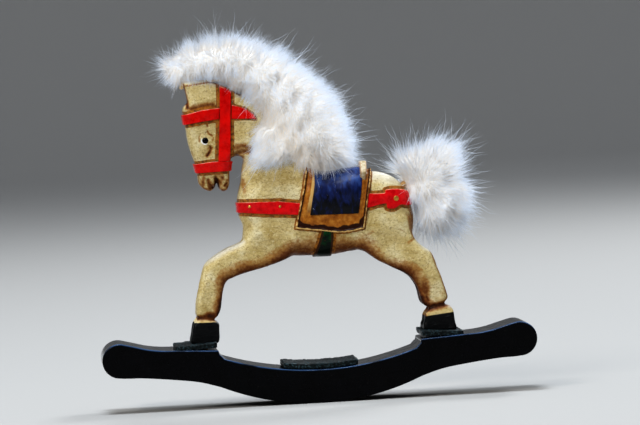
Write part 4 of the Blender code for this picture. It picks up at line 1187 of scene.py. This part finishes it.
def dress_cad_nodes():
    """The dowels, brads, tail peg and fur skin keep their CAD meshes and get a finish."""
    for name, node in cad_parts.items():
        for part, finish, slot in HIDDEN_NODES:
            if part in name:
                for place in node.material_slots:
                    place.material = finish


# ---------------------------------------------------------------- camera and light


def make_studio():
    """A pale floor that sweeps up behind, three soft lamps and a dim sky."""
    paint = Finish("studio floor", Base_Color=tint((172, 170, 167)), Roughness=0.9)
    level, bend, top = 4.2, 1.8, 5.0
    sweep = [(r, 0.0) for r in (1.0, 2.5, level)]
    sweep += [(level + bend * math.sin(t), bend - bend * math.cos(t))
              for t in np.radians(np.linspace(9, 90, 10))] + [(level + bend, top)]
    shape = bmesh.new()
    rows = [ring(shape, r, h, 64) for r, h in sweep]
    shape.faces.new(rows[0])
    sew(shape, rows)
    mesh = bpy.data.meshes.new("floor")
    shape.to_mesh(mesh)
    shape.free()
    finished("floor", mesh, paint.material, ())
    aim = Vector((0, 0, 0.09))
    for name, place, size, power, colour in (
            ("sky_light", (-0.25, -0.3, 2.4), 0.9, 50, (0.84, 0.92, 1.0)),
            ("key_light", (-1.5, -2.1, 1.8), 1.0, 38, (1.0, 0.97, 0.92)),
            ("rim_light", (1.1, 1.7, 1.5), 0.8, 26, (0.92, 0.96, 1.0))):
        light = bpy.data.lights.new(name, "AREA")
        light.size = size
        light.energy = power
        light.color = colour
        lamp = add_object(name, light)
        lamp.location = place
        lamp.rotation_euler = (aim - Vector(place)).to_track_quat("-Z", "Y").to_euler()
    world = bpy.data.worlds.new("studio air")
    world.use_nodes = True
    air = world.node_tree.nodes["Background"].inputs
    air["Color"].default_value = (0.80, 0.86, 0.95, 1)
    air["Strength"].default_value = 0.48
    bpy.context.scene.world = world
    bpy.context.scene.view_settings.view_transform = "Standard"
    bpy.context.scene.view_settings.look = "Medium High Contrast"


def make_camera():
    """A long lens a little above the horse, rolled so that the rocker looks tipped forward."""
    aim = Vector((0.0032, -0.018, 0.0872))
    eye = Vector((-0.147, -2.518, 0.172))
    lens = bpy.data.cameras.new("long lens")
    lens.lens = 308
    lens.sensor_width = 36
    camera = add_object("camera", lens)
    roll = Matrix.Rotation(math.radians(-3.1), 4, "Z")
    camera.matrix_world = (Matrix.Translation(eye)
                           @ (aim - eye).to_track_quat("-Z", "Y").to_matrix().to_4x4() @ roll)
    lens.clip_start = 0.1
    lens.clip_end = 30
    bpy.context.scene.camera = camera


make_horse()
make_eyes()
make_bridle()
make_body_straps()
make_saddle()
make_tacks()
make_board()
make_slats()
make_fur()
dress_cad_nodes()
make_studio()
make_camera()
